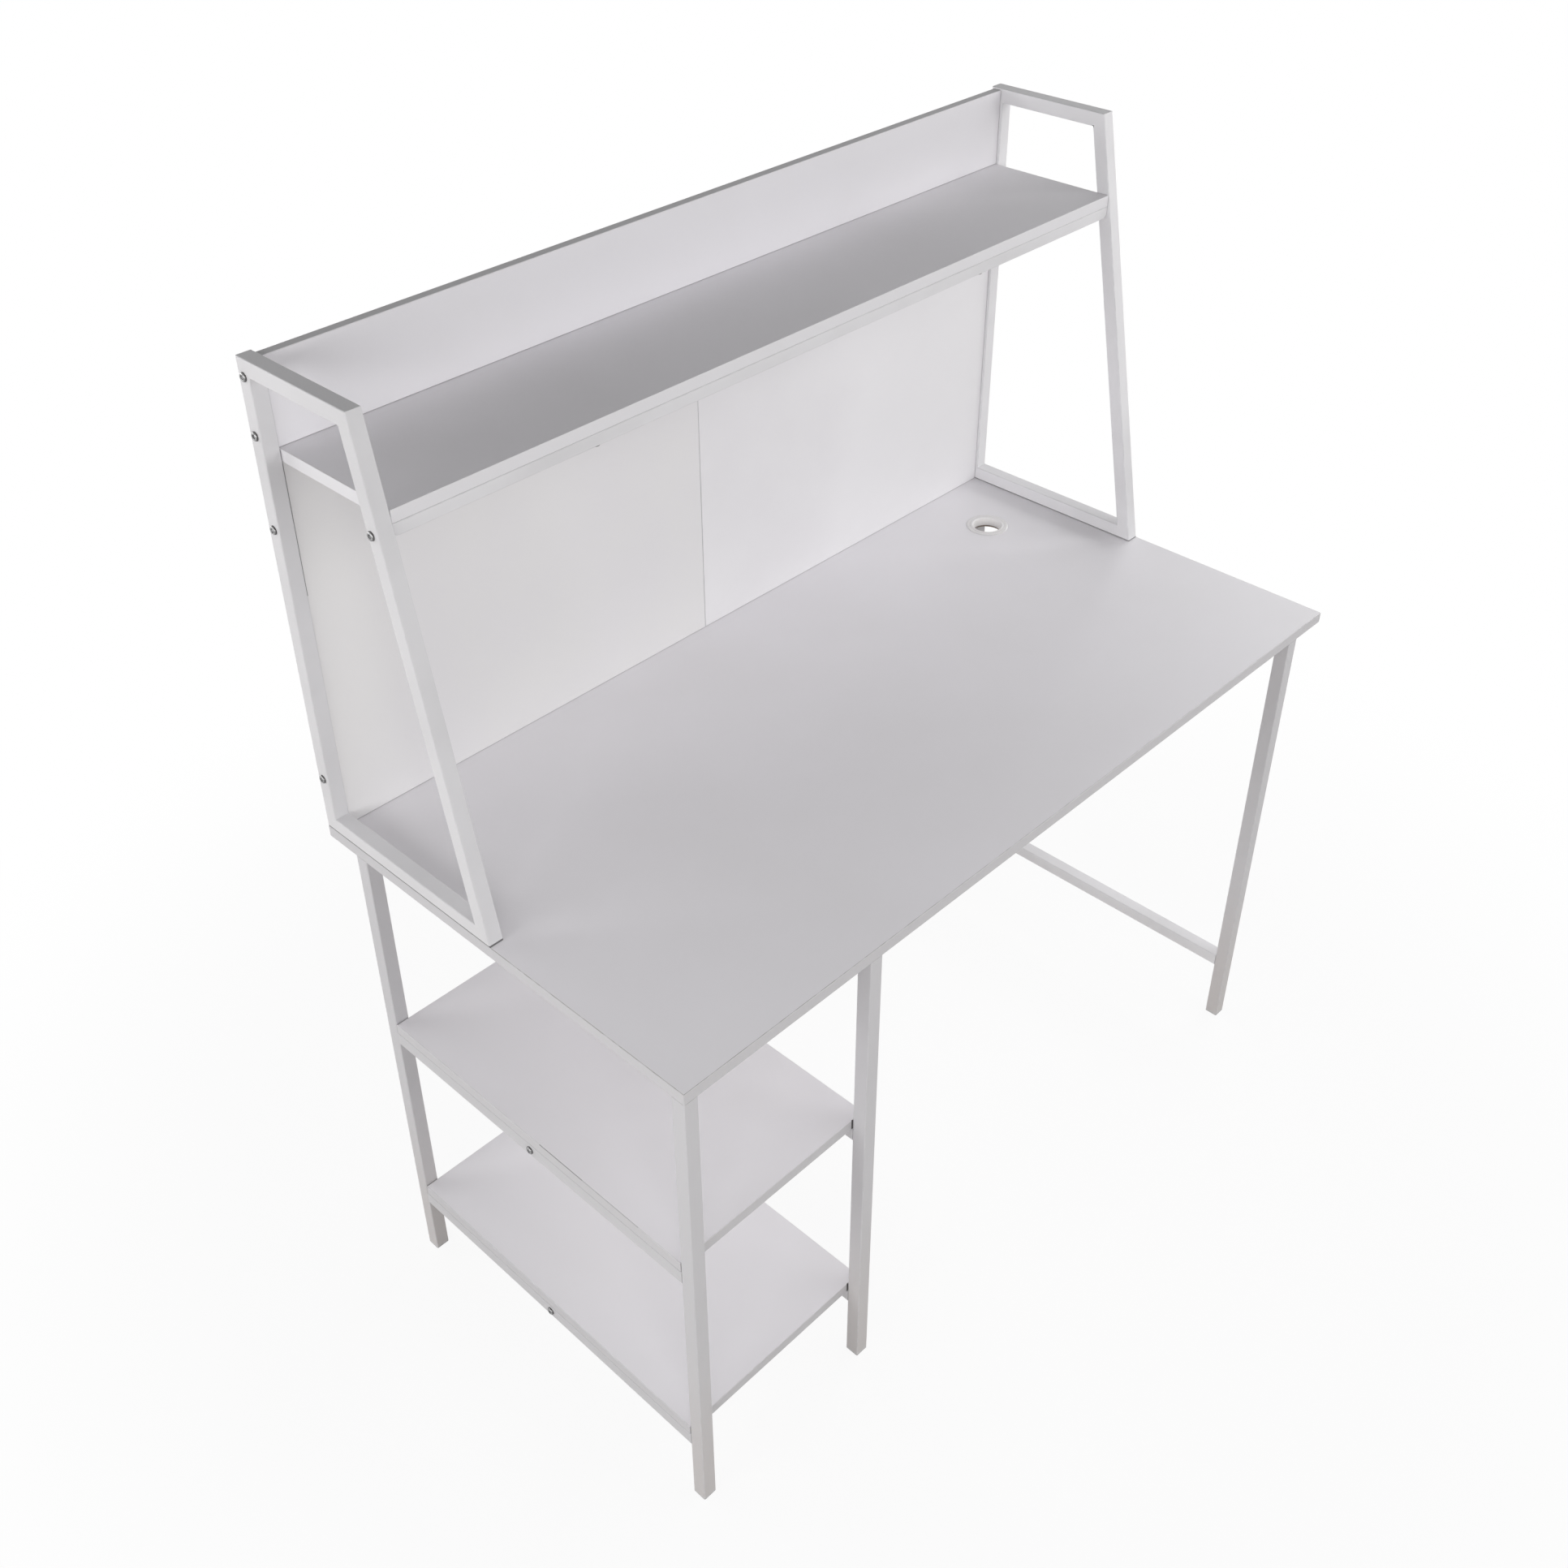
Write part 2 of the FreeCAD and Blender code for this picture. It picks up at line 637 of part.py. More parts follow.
turned = grommet.newObject("PartDesign::Revolution", "cable_grommet_turned")
turned.Profile = ring
turned.ReferenceAxis = (ring, ["V_Axis"])


# Hutch side frames: four mitred tubes each, welded at the corners
def corners(inset):
    """Corners of the side frame, moved inwards by an inset: back foot round to front foot."""
    reach = f"({inset} * {LEAN_STRETCH})"
    upper = f"(hutch_height - {inset})"
    return [
        (f"(hutch_depth - {inset})", inset),
        (f"(hutch_depth - {inset})", upper),
        (f"({LEAN} * {upper} + {reach})", upper),
        (f"({LEAN} * {inset} + {reach})", inset),
    ]


OUTER_CORNERS = [
    ("hutch_depth", ZERO),
    ("hutch_depth", "hutch_height"),
    ("(hutch_depth - hutch_top_depth)", "hutch_height"),
    (ZERO, ZERO),
]
INNER_CORNERS = corners("tube_side")
VOID_OUTER = corners("tube_wall")
VOID_INNER = corners("(tube_side - tube_wall)")
LEANING = FreeCAD.Vector(0, number(LEAN), 1).normalize()
MEMBERS = (
    ("back_upright", ALONG_Z),
    ("top_bar", ALONG_Y),
    ("front_upright", LEANING),
    ("foot_bar", ALONG_Y),
)


def between(points, start):
    """One corner of a list and the next one round."""
    return points[start], points[(start + 1) % len(points)]


hutch = {}
for side, x in HUTCH_X.items():
    for corner, (member, along) in enumerate(MEMBERS):
        outer_start, outer_end = between(OUTER_CORNERS, corner)
        inner_start, inner_end = between(INNER_CORNERS, corner)
        void_start, void_end = between(VOID_OUTER, corner)
        core_start, core_end = between(VOID_INNER, corner)
        hutch[side, member] = upright_tube(
            f"hutch_{member}_{side}",
            (x, HUTCH_Y, "desk_height"),
            [outer_start, outer_end, inner_end, inner_start],
            [void_start, void_end, core_end, core_start],
            along,
        )


# Hutch mounting: bolts up through the desktop into nuts set in the foot bars
mount_bolts = []
mount_nuts = []
for side, x in HUTCH_X.items():
    spots = [(TUBE_MIDDLE, y) for y in MOUNT_BOLT_Y]
    drill(hutch[side, "foot_bar"], "XY_Plane", spots, BOLT_HOLE, TUBE_MIDDLE, True)
    for y in MOUNT_BOLT_Y:
        middle = (f"({x} + {TUBE_MIDDLE})", f"({HUTCH_Y} + {y})")
        mount_bolts.append(
            bolt("+z", (*middle, UNDERSIDE), "(desktop_thickness + tube_wall + nut_length)")
        )
        mount_nuts.append(
            sleeve("+z", (*middle, "(desk_height + tube_wall)"), "nut_radius", "nut_length")
        )
group("hutch_mount_bolts", mount_bolts)
group("hutch_mount_nuts", mount_nuts)


# Hutch shelf: board across the hutch, its front edge in line with the leaning uprights
SHELF_TOP = f"(desk_height + {SHELF_RISE})"
SHELF_BOTTOM = f"({SHELF_TOP} - hutch_shelf_thickness)"
HUTCH_SHELF_X = f"({LEFT} + tube_side + shelf_end_gap)"
HUTCH_SHELF_WIDTH = "(desk_width - 2 * (tube_side + shelf_end_gap))"
HUTCH_SHELF_Y = f"({HUTCH_Y} + {LEAN} * {SHELF_RISE})"
PANEL_Y = f"({BACK} - {TUBE_MIDDLE} - panel_thickness / 2)"
PANEL_MIDDLE_Y = f"({BACK} - {TUBE_MIDDLE})"
HUTCH_SHELF_DEPTH = f"({PANEL_Y} + panel_thickness - {HUTCH_SHELF_Y})"
hutch_shelf = board(
    "hutch_shelf",
    (HUTCH_SHELF_X, HUTCH_SHELF_Y, SHELF_BOTTOM),
    HUTCH_SHELF_WIDTH,
    HUTCH_SHELF_DEPTH,
    "hutch_shelf_thickness",
)


# Hutch shelf rail: small tube with solid ends under the shelf's front edge, bolted at both ends
SHELF_RAIL_LENGTH = "(desk_width - 2 * tube_side)"
SHELF_RAIL_X = f"({LEFT} + tube_side)"
SHELF_RAIL_Z = f"({SHELF_BOTTOM} - shelf_rail_side)"
SHELF_RAIL_MIDDLE = "(shelf_rail_side / 2)"
SHELF_RAIL_MIDDLE_Y = f"({HUTCH_SHELF_Y} + {SHELF_RAIL_MIDDLE})"
SHELF_RAIL_MIDDLE_Z = f"({SHELF_RAIL_Z} + {SHELF_RAIL_MIDDLE})"
SHELF_BOLT_X = ("shelf_bolt_inset", f"({SHELF_RAIL_LENGTH} - shelf_bolt_inset)")
shelf_rail = new_body("hutch_shelf_rail", SHELF_RAIL_X, HUTCH_SHELF_Y, SHELF_RAIL_Z)
profile = new_sketch(shelf_rail, "XZ_Plane")
outline(profile, rectangle(ZERO, ZERO, SHELF_RAIL_LENGTH, "shelf_rail_side"))
bar = pad(shelf_rail, profile, "shelf_rail_side", True)
eased = round_edges(shelf_rail, bar, "rail_end_round", ALONG_Y, True)
eased.recompute(True)
round_edges(shelf_rail, eased, "tube_corner", ALONG_X)
hollow = new_sketch(shelf_rail, "XZ_Plane", "-shelf_rail_wall")
outline(hollow, rectangle(
    PLUG_LENGTH,
    "shelf_rail_wall",
    f"({SHELF_RAIL_LENGTH} - {PLUG_LENGTH})",
    "(shelf_rail_side - shelf_rail_wall)",
))
pocket(shelf_rail, hollow, "(shelf_rail_side - 2 * shelf_rail_wall)")
end_spot = [(SHELF_RAIL_MIDDLE, SHELF_RAIL_MIDDLE)]
drill(shelf_rail, "YZ_Plane", end_spot, THREAD_HOLE, PLUG_LENGTH, True)
drill(shelf_rail, "YZ_Plane", end_spot, THREAD_HOLE, PLUG_LENGTH, False, SHELF_RAIL_LENGTH)
rail_spots = [(x, SHELF_RAIL_MIDDLE) for x in SHELF_BOLT_X]
drill(shelf_rail, "XY_Plane", rail_spots, BOLT_HOLE, None, True)
shelf_spots = [(f"({x} - shelf_end_gap)", SHELF_RAIL_MIDDLE) for x in SHELF_BOLT_X]
drill(hutch_shelf, "XY_Plane", shelf_spots, BOLT_HOLE, "(shelf_bolt_bite + screw_tip_room)", True)
group("hutch_shelf_bolts", [
    bolt(
        "+z",
        (f"({SHELF_RAIL_X} + {x})", SHELF_RAIL_MIDDLE_Y, SHELF_RAIL_Z),
        "(shelf_rail_side + shelf_bolt_bite)",
    )
    for x in SHELF_BOLT_X
])
upright_spot = [(
    f"({SHELF_RAIL_MIDDLE_Y} - {HUTCH_Y})",
    f"({SHELF_RAIL_MIDDLE_Z} - desk_height)",
)]
for side in HUTCH_X:
    drill(hutch[side, "front_upright"], "YZ_Plane", upright_spot, BOLT_HOLE, None, True)
group("hutch_rail_bolts", [
    bolt("+x", (LEFT, SHELF_RAIL_MIDDLE_Y, SHELF_RAIL_MIDDLE_Z), RAIL_BOLT_LENGTH),
    bolt("-x", (RIGHT, SHELF_RAIL_MIDDLE_Y, SHELF_RAIL_MIDDLE_Z), RAIL_BOLT_LENGTH),
])


# Back panels: one above the shelf and a pair below it, between the back uprights
LOWER_PANEL_HEIGHT = f"({SHELF_RISE} - hutch_shelf_thickness)"
UPPER_PANEL_X = f"({LEFT} + tube_side + panel_end_gap)"
UPPER_PANEL_WIDTH = "(desk_width - 2 * (tube_side + panel_end_gap))"
LOWER_PANEL_WIDTH = "(desk_width / 2 - tube_side - panel_end_gap - seam_gap / 2)"
PANEL_MIDDLE = "(panel_thickness / 2)"
INSERT_HOLE = "(insert_radius + thread_clearance)"
upper_panel = board(
    "back_panel_upper",
    (UPPER_PANEL_X, PANEL_Y, SHELF_TOP),
    UPPER_PANEL_WIDTH,
    "panel_thickness",
    "upper_panel_height",
)
lower_panels = {
    side: board(
        f"back_panel_lower_{side}",
        (x, PANEL_Y, "desk_height"),
        LOWER_PANEL_WIDTH,
        "panel_thickness",
        LOWER_PANEL_HEIGHT,
    )
    for side, x in (("left", UPPER_PANEL_X), ("right", "(seam_gap / 2)"))
}


# Panel bolts: through the back uprights into inserts in the panels' ends
UPPER_BOLT_Z = ("upper_bolt_inset", "(upper_panel_height - upper_bolt_inset)")
LOWER_BOLT_Z = ("lower_bolt_inset", f"({LOWER_PANEL_HEIGHT} - lower_bolt_inset)")
upper_spots = [(PANEL_MIDDLE, z) for z in UPPER_BOLT_Z]
lower_spots = [(PANEL_MIDDLE, z) for z in LOWER_BOLT_Z]
bolt_heights = [f"({SHELF_RISE} + {z})" for z in UPPER_BOLT_Z] + list(LOWER_BOLT_Z)
drill(upper_panel, "YZ_Plane", upper_spots, INSERT_HOLE, PLUG_LENGTH, True)
drill(upper_panel, "YZ_Plane", upper_spots, INSERT_HOLE, PLUG_LENGTH, False, UPPER_PANEL_WIDTH)
drill(lower_panels["left"], "YZ_Plane", lower_spots, INSERT_HOLE, PLUG_LENGTH, True)
drill(lower_panels["right"], "YZ_Plane", lower_spots, INSERT_HOLE, PLUG_LENGTH, False, LOWER_PANEL_WIDTH)
upright_spots = [(f"({PANEL_MIDDLE_Y} - {HUTCH_Y})", z) for z in bolt_heights]
panel_bolts = []
panel_inserts = []
PANEL_BOLT_LENGTH = "(tube_side + panel_end_gap + bolt_grip)"
INSERT_RIGHT_X = f"({RIGHT} - tube_side - panel_end_gap)"
for side in HUTCH_X:
    drill(hutch[side, "back_upright"], "YZ_Plane", upright_spots, BOLT_HOLE, None, True)
    way, face, end = ("+x", LEFT, UPPER_PANEL_X) if side == "left" else ("-x", RIGHT, INSERT_RIGHT_X)
    for z in bolt_heights:
        level = f"(desk_height + {z})"
        panel_bolts.append(bolt(way, (face, PANEL_MIDDLE_Y, level), PANEL_BOLT_LENGTH))
        panel_inserts.append(sleeve(way, (end, PANEL_MIDDLE_Y, level), "insert_radius", PLUG_LENGTH))
group("panel_bolts", panel_bolts)
group("panel_inserts", panel_inserts)


# Dowels: across the seam of the lower panels, and between the shelf and the panels
DOWEL_HOLE = "(dowel_radius + thread_clearance)"
SEAM_DEPTH = "(seam_dowel_length / 2 - seam_gap / 2 + dowel_room)"
DOWEL_LENGTH = "(panel_dowel_bite + shelf_dowel_bite)"
seam_dowel_shares = (0.2, 0.5, 0.8)
lower_dowel_shares = (0.25, 0.75)
upper_dowel_shares = (0.2, 0.5, 0.8)
seam_heights = [f"({share} * {LOWER_PANEL_HEIGHT})" for share in seam_dowel_shares]
seam_spots = [(PANEL_MIDDLE, z) for z in seam_heights]
drill(lower_panels["left"], "YZ_Plane", seam_spots, DOWEL_HOLE, SEAM_DEPTH, False, LOWER_PANEL_WIDTH)
drill(lower_panels["right"], "YZ_Plane", seam_spots, DOWEL_HOLE, SEAM_DEPTH, True)
dowel = {"Radius": "dowel_radius", "Height": "seam_dowel_length"}
group("seam_dowels", [
    solid(
        "Part::Cylinder",
        "+x",
        ("(-seam_dowel_length / 2)", PANEL_MIDDLE_Y, f"(desk_height + {z})"),
        dowel,
    )
    for z in seam_heights
])
panel_depth = "(panel_dowel_bite + dowel_room)"
shelf_depth = "(shelf_dowel_bite + dowel_room)"
upper_along = [f"({share} * {UPPER_PANEL_WIDTH})" for share in upper_dowel_shares]
lower_along = [f"({share} * {LOWER_PANEL_WIDTH})" for share in lower_dowel_shares]
drill(upper_panel, "XY_Plane", [(x, PANEL_MIDDLE) for x in upper_along], DOWEL_HOLE, panel_depth, True)
lower_places = []
for side, start in (("left", UPPER_PANEL_X), ("right", "(seam_gap / 2)")):
    spots = [(x, PANEL_MIDDLE) for x in lower_along]
    drill(lower_panels[side], "XY_Plane", spots, DOWEL_HOLE, panel_depth, False, LOWER_PANEL_HEIGHT)
    lower_places += [f"({start} + {x})" for x in lower_along]
upper_places = [f"({UPPER_PANEL_X} + {x})" for x in upper_along]
dowel_y = f"({PANEL_MIDDLE_Y} - {HUTCH_SHELF_Y})"
under_spots = [(f"({x} - {HUTCH_SHELF_X})", dowel_y) for x in lower_places]
over_spots = [(f"({x} - {HUTCH_SHELF_X})", dowel_y) for x in upper_places]
drill(hutch_shelf, "XY_Plane", under_spots, DOWEL_HOLE, shelf_depth, True)
drill(hutch_shelf, "XY_Plane", over_spots, DOWEL_HOLE, shelf_depth, False, "hutch_shelf_thickness")
upright_dowel = {"Radius": "dowel_radius", "Height": DOWEL_LENGTH}
under_z = f"({SHELF_BOTTOM} - panel_dowel_bite)"
over_z = f"({SHELF_TOP} - shelf_dowel_bite)"
group("shelf_dowels", [
    solid("Part::Cylinder", "+z", (x, PANEL_MIDDLE_Y, z), upright_dowel)
    for places, z in ((lower_places, under_z), (upper_places, over_z))
    for x in places
])


# Recompute, test every piece, then write one file per piece
doc.recompute()
for item in doc.Objects:
    if "Invalid" in item.State or "Error" in item.State:
        raise RuntimeError(f"{item.Label} failed: {item.State}")
    if item.TypeId == "PartDesign::Pocket":
        if item.Shape.Volume >= item.BaseFeature.Shape.Volume:
            raise RuntimeError(f"{item.Label} cuts nothing")
for node in nodes:
    if node.Shape.isNull() or not node.Shape.isValid() or not node.Shape.Solids:
        raise RuntimeError(f"{node.Label} has no valid solid")
os.makedirs("parts", exist_ok=True)
for node in nodes:
    node.Shape.exportStep(f"parts/{node.Label}.step")
print(len(nodes), "pieces written")
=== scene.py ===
"""White office desk with an open shelf bay on the left and a shelf hutch above the desktop."""
import math

import bmesh
import bpy
from mathutils import Matrix, Vector


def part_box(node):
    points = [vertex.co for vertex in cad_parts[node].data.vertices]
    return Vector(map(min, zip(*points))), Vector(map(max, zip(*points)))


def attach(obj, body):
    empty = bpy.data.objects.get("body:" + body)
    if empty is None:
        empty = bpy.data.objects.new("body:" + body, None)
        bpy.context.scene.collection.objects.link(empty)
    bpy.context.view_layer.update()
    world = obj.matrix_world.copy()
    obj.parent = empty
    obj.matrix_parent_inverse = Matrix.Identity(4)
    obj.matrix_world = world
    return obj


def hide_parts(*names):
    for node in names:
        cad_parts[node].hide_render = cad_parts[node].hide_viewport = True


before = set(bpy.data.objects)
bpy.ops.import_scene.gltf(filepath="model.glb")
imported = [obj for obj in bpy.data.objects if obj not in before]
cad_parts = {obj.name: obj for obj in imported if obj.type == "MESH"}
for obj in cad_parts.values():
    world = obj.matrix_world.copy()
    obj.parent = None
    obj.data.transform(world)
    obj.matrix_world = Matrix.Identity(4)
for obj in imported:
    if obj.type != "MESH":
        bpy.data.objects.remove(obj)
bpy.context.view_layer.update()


# Legs
# Six straight legs of square steel tube, cut square and powder coated white.
# Each stands on a foot cap and butts against the underside of the desktop.
FRAMES = ("left", "middle", "right")
ROWS = ("front", "back")
WIDE, DEEP, TALL = 0, 1, 2
COAT = (0.58, 0.572, 0.588, 1.0)
COAT_THIN = (0.62, 0.612, 0.628, 1.0)
COAT_DUSTY = (0.54, 0.532, 0.542, 1.0)
COAT_NEAR_FLOOR = (0.555, 0.522, 0.508, 1.0)
COAT_ROUGHNESS = (0.34, 0.46)
COAT_RELIEF = (0.12, 0.0004)
COAT_GLOSS = 0.4
PEEL = (650.0, 2.0)
THIN_REACH = (0.0002, 0.0016)
THIN_PATCHES = (70.0, 3.0, 0.35, 0.70, 0.25, 1.0)
DUST_PATCHES = (7.0, 4.0, 0.35, 0.75, 0.0, 0.35)
LEG_FLOOR_DARKENING = 0.7
FLOOR_DARKENING_HEIGHT = 0.35
GRAIN_SPAN = (0.3, 0.7)
# Colour of the painted shade in gaps, seams and recesses.
PAINTED_SHADE_DARK = (0.05, 0.047, 0.045, 1.0)
GAP_BLUR = 0.0003


def put(tree, kind, **inputs):
    """Add a node and set its plain inputs by name."""
    node = tree.nodes.new(kind)
    for name, value in inputs.items():
        node.inputs[name.replace("_", " ")].default_value = value
    return node


def calc(tree, operation, first, second):
    """Math node on two sockets or numbers."""
    node = tree.nodes.new("ShaderNodeMath")
    node.operation = operation
    for socket, value in zip(node.inputs, (first, second)):
        if isinstance(value, (int, float)):
            socket.default_value = value
        else:
            tree.links.new(value, socket)
    return node.outputs[0]


def fade(tree, value, start, end, at_start, at_end):
    """Smooth step of a value from one level to another."""
    node = put(tree, "ShaderNodeMapRange", From_Min=start, From_Max=end, To_Min=at_start, To_Max=at_end)
    node.interpolation_type = "SMOOTHSTEP"
    tree.links.new(value, node.inputs["Value"])
    return node.outputs["Result"]


def tint(tree, share, below, above):
    """Blend two colours by a share."""
    node = tree.nodes.new("ShaderNodeMix")
    node.data_type = "RGBA"
    sockets = [s for s in node.inputs if s.enabled]
    tree.links.new(share, sockets[0])
    for socket, colour in zip(sockets[1:], (below, above)):
        if isinstance(colour, tuple):
            socket.default_value = colour
        else:
            tree.links.new(colour, socket)
    return [s for s in node.outputs if s.enabled][0]


def cloud(tree, place, scale, detail):
    """Noise at a scale, read at a place."""
    node = put(tree, "ShaderNodeTexNoise", Scale=scale, Detail=detail)
    tree.links.new(place, node.inputs["Vector"])
    return node.outputs["Fac"]


def mottle(tree, place, scale, detail, start, end, at_start, at_end):
    """Noise at a scale, stretched from one level to another."""
    return fade(tree, cloud(tree, place, scale, detail), start, end, at_start, at_end)


def split_axes(tree, place):
    """The three parts of a place."""
    split = tree.nodes.new("ShaderNodeSeparateXYZ")
    tree.links.new(place, split.inputs[0])
    return split.outputs


def to_sides(tree, place, low, high):
    """Distances from a place to the nearest side of a box, along each axis."""
    from_low = tree.nodes.new("ShaderNodeVectorMath")
    from_low.operation = "SUBTRACT"
    tree.links.new(place, from_low.inputs[0])
    from_low.inputs[1].default_value = low
    from_high = tree.nodes.new("ShaderNodeVectorMath")
    from_high.operation = "SUBTRACT"
    from_high.inputs[0].default_value = high
    tree.links.new(place, from_high.inputs[1])
    nearest = tree.nodes.new("ShaderNodeVectorMath")
    nearest.operation = "MINIMUM"
    tree.links.new(from_low.outputs[0], nearest.inputs[0])
    tree.links.new(from_high.outputs[0], nearest.inputs[1])
    return split_axes(tree, nearest.outputs[0])


def to_edge(tree, sides):
    """Distance from a point on a box's face to the nearest edge: the middle one of three."""
    lesser = calc(tree, "MINIMUM", sides[WIDE], sides[DEEP])
    greater = calc(tree, "MAXIMUM", sides[WIDE], sides[DEEP])
    return calc(tree, "MAXIMUM", lesser, calc(tree, "MINIMUM", greater, sides[TALL]))


def painted_gap_shade(tree, place, shade_gaps):
    """Painted shade at a place that lies in a narrow gap; each gap is a box and a darkness."""
    dark = None
    for low, high, darkness in shade_gaps:
        sides = to_sides(tree, place, low, high)
        depth = calc(tree, "MINIMUM", calc(tree, "MINIMUM", sides[WIDE], sides[DEEP]), sides[TALL])
        here = fade(tree, depth, 0.0, GAP_BLUR, 0.0, darkness)
        dark = here if dark is None else calc(tree, "MAXIMUM", dark, here)
    return dark


def new_finish(name):
    """Material with its shader and the piece's own coordinates."""
    material = bpy.data.materials.new(name)
    material.use_nodes = True
    tree = material.node_tree
    shader = tree.nodes["Principled BSDF"]
    place = tree.nodes.new("ShaderNodeTexCoord").outputs["Object"]
    return material, tree, shader, place


def fine_grain(tree, shader, place, grain, roughness, relief):
    """Roughness and relief of a surface from one fine noise."""
    height = cloud(tree, place, *grain)
    tree.links.new(fade(tree, height, *GRAIN_SPAN, *roughness), shader.inputs["Roughness"])
    strength, depth = relief
    bump = put(tree, "ShaderNodeBump", Strength=strength, Distance=depth)
    tree.links.new(height, bump.inputs["Height"])
    tree.links.new(bump.outputs["Normal"], shader.inputs["Normal"])


def drawn_upright(tree, place, lean):
    """A leaning tube's coordinates, as if it stood upright."""
    x, y, z = split_axes(tree, place)
    upright = tree.nodes.new("ShaderNodeCombineXYZ")
    tree.links.new(x, upright.inputs[0])
    tree.links.new(calc(tree, "SUBTRACT", y, calc(tree, "MULTIPLY", z, lean)), upright.inputs[1])
    tree.links.new(z, upright.inputs[2])
    return upright.outputs[0]


def powder_coat(name, low, high, lean, shade_gaps, coat, floor_darkening):
    """White coat on a tube: fine orange peel, thin at the corners, dusty in patches, darker towards the
    floor where asked, and painted shade in its gaps.
    """
    material, tree, shader, place = new_finish(name)
    box_place = drawn_upright(tree, place, lean) if lean else place
    corner = to_edge(tree, to_sides(tree, box_place, low, high))
    thin = fade(tree, corner, *THIN_REACH, 1.0, 0.0)
    worn = calc(tree, "MULTIPLY", thin, mottle(tree, place, *THIN_PATCHES))
    colour = tint(tree, mottle(tree, place, *DUST_PATCHES), coat, COAT_DUSTY)
    # The coat grows darker towards the floor.
    if floor_darkening:
        height = split_axes(tree, place)[TALL]
        colour = tint(tree, fade(tree, height, 0.0, FLOOR_DARKENING_HEIGHT, floor_darkening, 0.0), colour, COAT_NEAR_FLOOR)
    colour = tint(tree, worn, colour, COAT_THIN)
    if shade_gaps:
        colour = tint(tree, painted_gap_shade(tree, place, shade_gaps), colour, PAINTED_SHADE_DARK)
    tree.links.new(colour, shader.inputs["Base Color"])
    shader.inputs["Specular IOR Level"].default_value = COAT_GLOSS
    fine_grain(tree, shader, place, PEEL, COAT_ROUGHNESS, COAT_RELIEF)
    return material


def dress(name, finish):
    """Give a node its finish."""
    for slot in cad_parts[name].material_slots:
        slot.material = finish


def leaning_depth(side, lean):
    """Level depth of a leaning square tube."""
    return side * math.sqrt(1 + lean ** 2)


def coat_tube(name, coat=COAT, shade_gaps=(), lean=0.0, floor_darkening=0.0):
    """Powder coat one tube in its own box; a leaning tube's box is drawn upright."""
    low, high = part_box(name)
    if lean:
        depth = leaning_depth(high.x - low.x, lean)
        low = Vector((low.x, low.y - lean * low.z, low.z))
        high = Vector((high.x, low.y + depth, high.z))
    dress(name, powder_coat(f"white powder coat {name}", low, high, lean, shade_gaps, coat, floor_darkening))


for row in ROWS:
    for side in FRAMES:
        coat_tube(f"leg_{side}_{row}", floor_darkening=LEG_FLOOR_DARKENING)


# Foot caps
# Moulded plastic caps pushed into the legs' lower ends. Only the flat flange under
# the tube shows; it is matt and scuffed along its lower rim.
CAP_WHITE = (0.60, 0.595, 0.595, 1.0)
CAP_SCUFF = (0.34, 0.33, 0.32, 1.0)
CAP_ROUGHNESS = (0.48, 0.62)
CAP_RELIEF = (0.18, 0.0003)
CAP_GRAIN = (1400.0, 1.0)
CAP_MARKS = (260.0, 4.0, 0.42, 0.72, 0.15, 0.9)
CAP_FLANGE = 0.0028
CAP_TOP_SCUFF = 0.15


def moulded_cap(name):
    """Matt moulded plastic, scuffed towards the floor."""
    material, tree, shader, place = new_finish(name)
    near_floor = fade(tree, split_axes(tree, place)[TALL], 0.0, CAP_FLANGE, 1.0, CAP_TOP_SCUFF)
    scuffed = calc(tree, "MULTIPLY", near_floor, mottle(tree, place, *CAP_MARKS))
    tree.links.new(tint(tree, scuffed, CAP_WHITE, CAP_SCUFF), shader.inputs["Base Color"])
    fine_grain(tree, shader, place, CAP_GRAIN, CAP_ROUGHNESS, CAP_RELIEF)
    return material


for row in ROWS:
    for side in FRAMES:
        cap = f"foot_cap_{side}_{row}"
        dress(cap, moulded_cap(f"moulded white {cap}"))


# Leg tabs
# Flat steel tabs welded beside the legs' tops, coated with the frames, drilled
# for two wood screws each that hold the desktop down.
for row in ROWS:
    for side in FRAMES:
        coat_tube(f"leg_tab_{side}_{row}")


# Side rails and stretchers
# Tubes of the same stock between front and back legs, across under each bay
# shelf, and along the back under the desktop. The right low rail is painted a
# lighter coat, as painted light.
LIT_COAT = (0.73, 0.722, 0.738, 1.0)
LEVELS = ("mid", "low")
for level in LEVELS:
    for name in (f"side_rail_left_{level}", f"side_rail_middle_{level}", f"shelf_stretcher_{level}"):
        coat_tube(name)
coat_tube("back_stretcher")
coat_tube("side_rail_right_low", LIT_COAT)


# Bay shelves
# Two particle boards faced with matt white laminate and banded on every edge. They
# rest on the side rails between front and back legs. Painted shade draws dark lines at
# their seats, a slit beside the middle front leg and an open joint in the middle shelf's
# left band. The middle shelf is painted lighter and the low one darker, as painted light
# and shade.
LAMINATE = (0.80, 0.785, 0.812, 1.0)
LAMINATE_WORN = (0.77, 0.755, 0.775, 1.0)
BOARD_ROUGHNESS = (0.42, 0.56)
BOARD_RELIEF = (0.10, 0.0003)
BOARD_GLOSS = 0.35
BOARD_PORES = (900.0, 3.0)
HAZE = (5.0, 5.0, 0.35, 0.75, 0.0, 0.6)
# Edge bands are painted darker than the faces, as painted shade on the edges.
SHADED_BAND = (0.58, 0.57, 0.585, 1.0)
BAND_START = (0.0001, 0.0003)
BAND_THICKNESS = 0.0008
GLUE_LINE = (0.26, 0.24, 0.22, 1.0)
LINE_WIDTH = 0.0006
LINE_STREAKS = (60.0, 4.0, 0.35, 0.6, 0.4, 1.0)
LINE_AT_RIGHT = 0.3
SHELF_LINE = 0.35
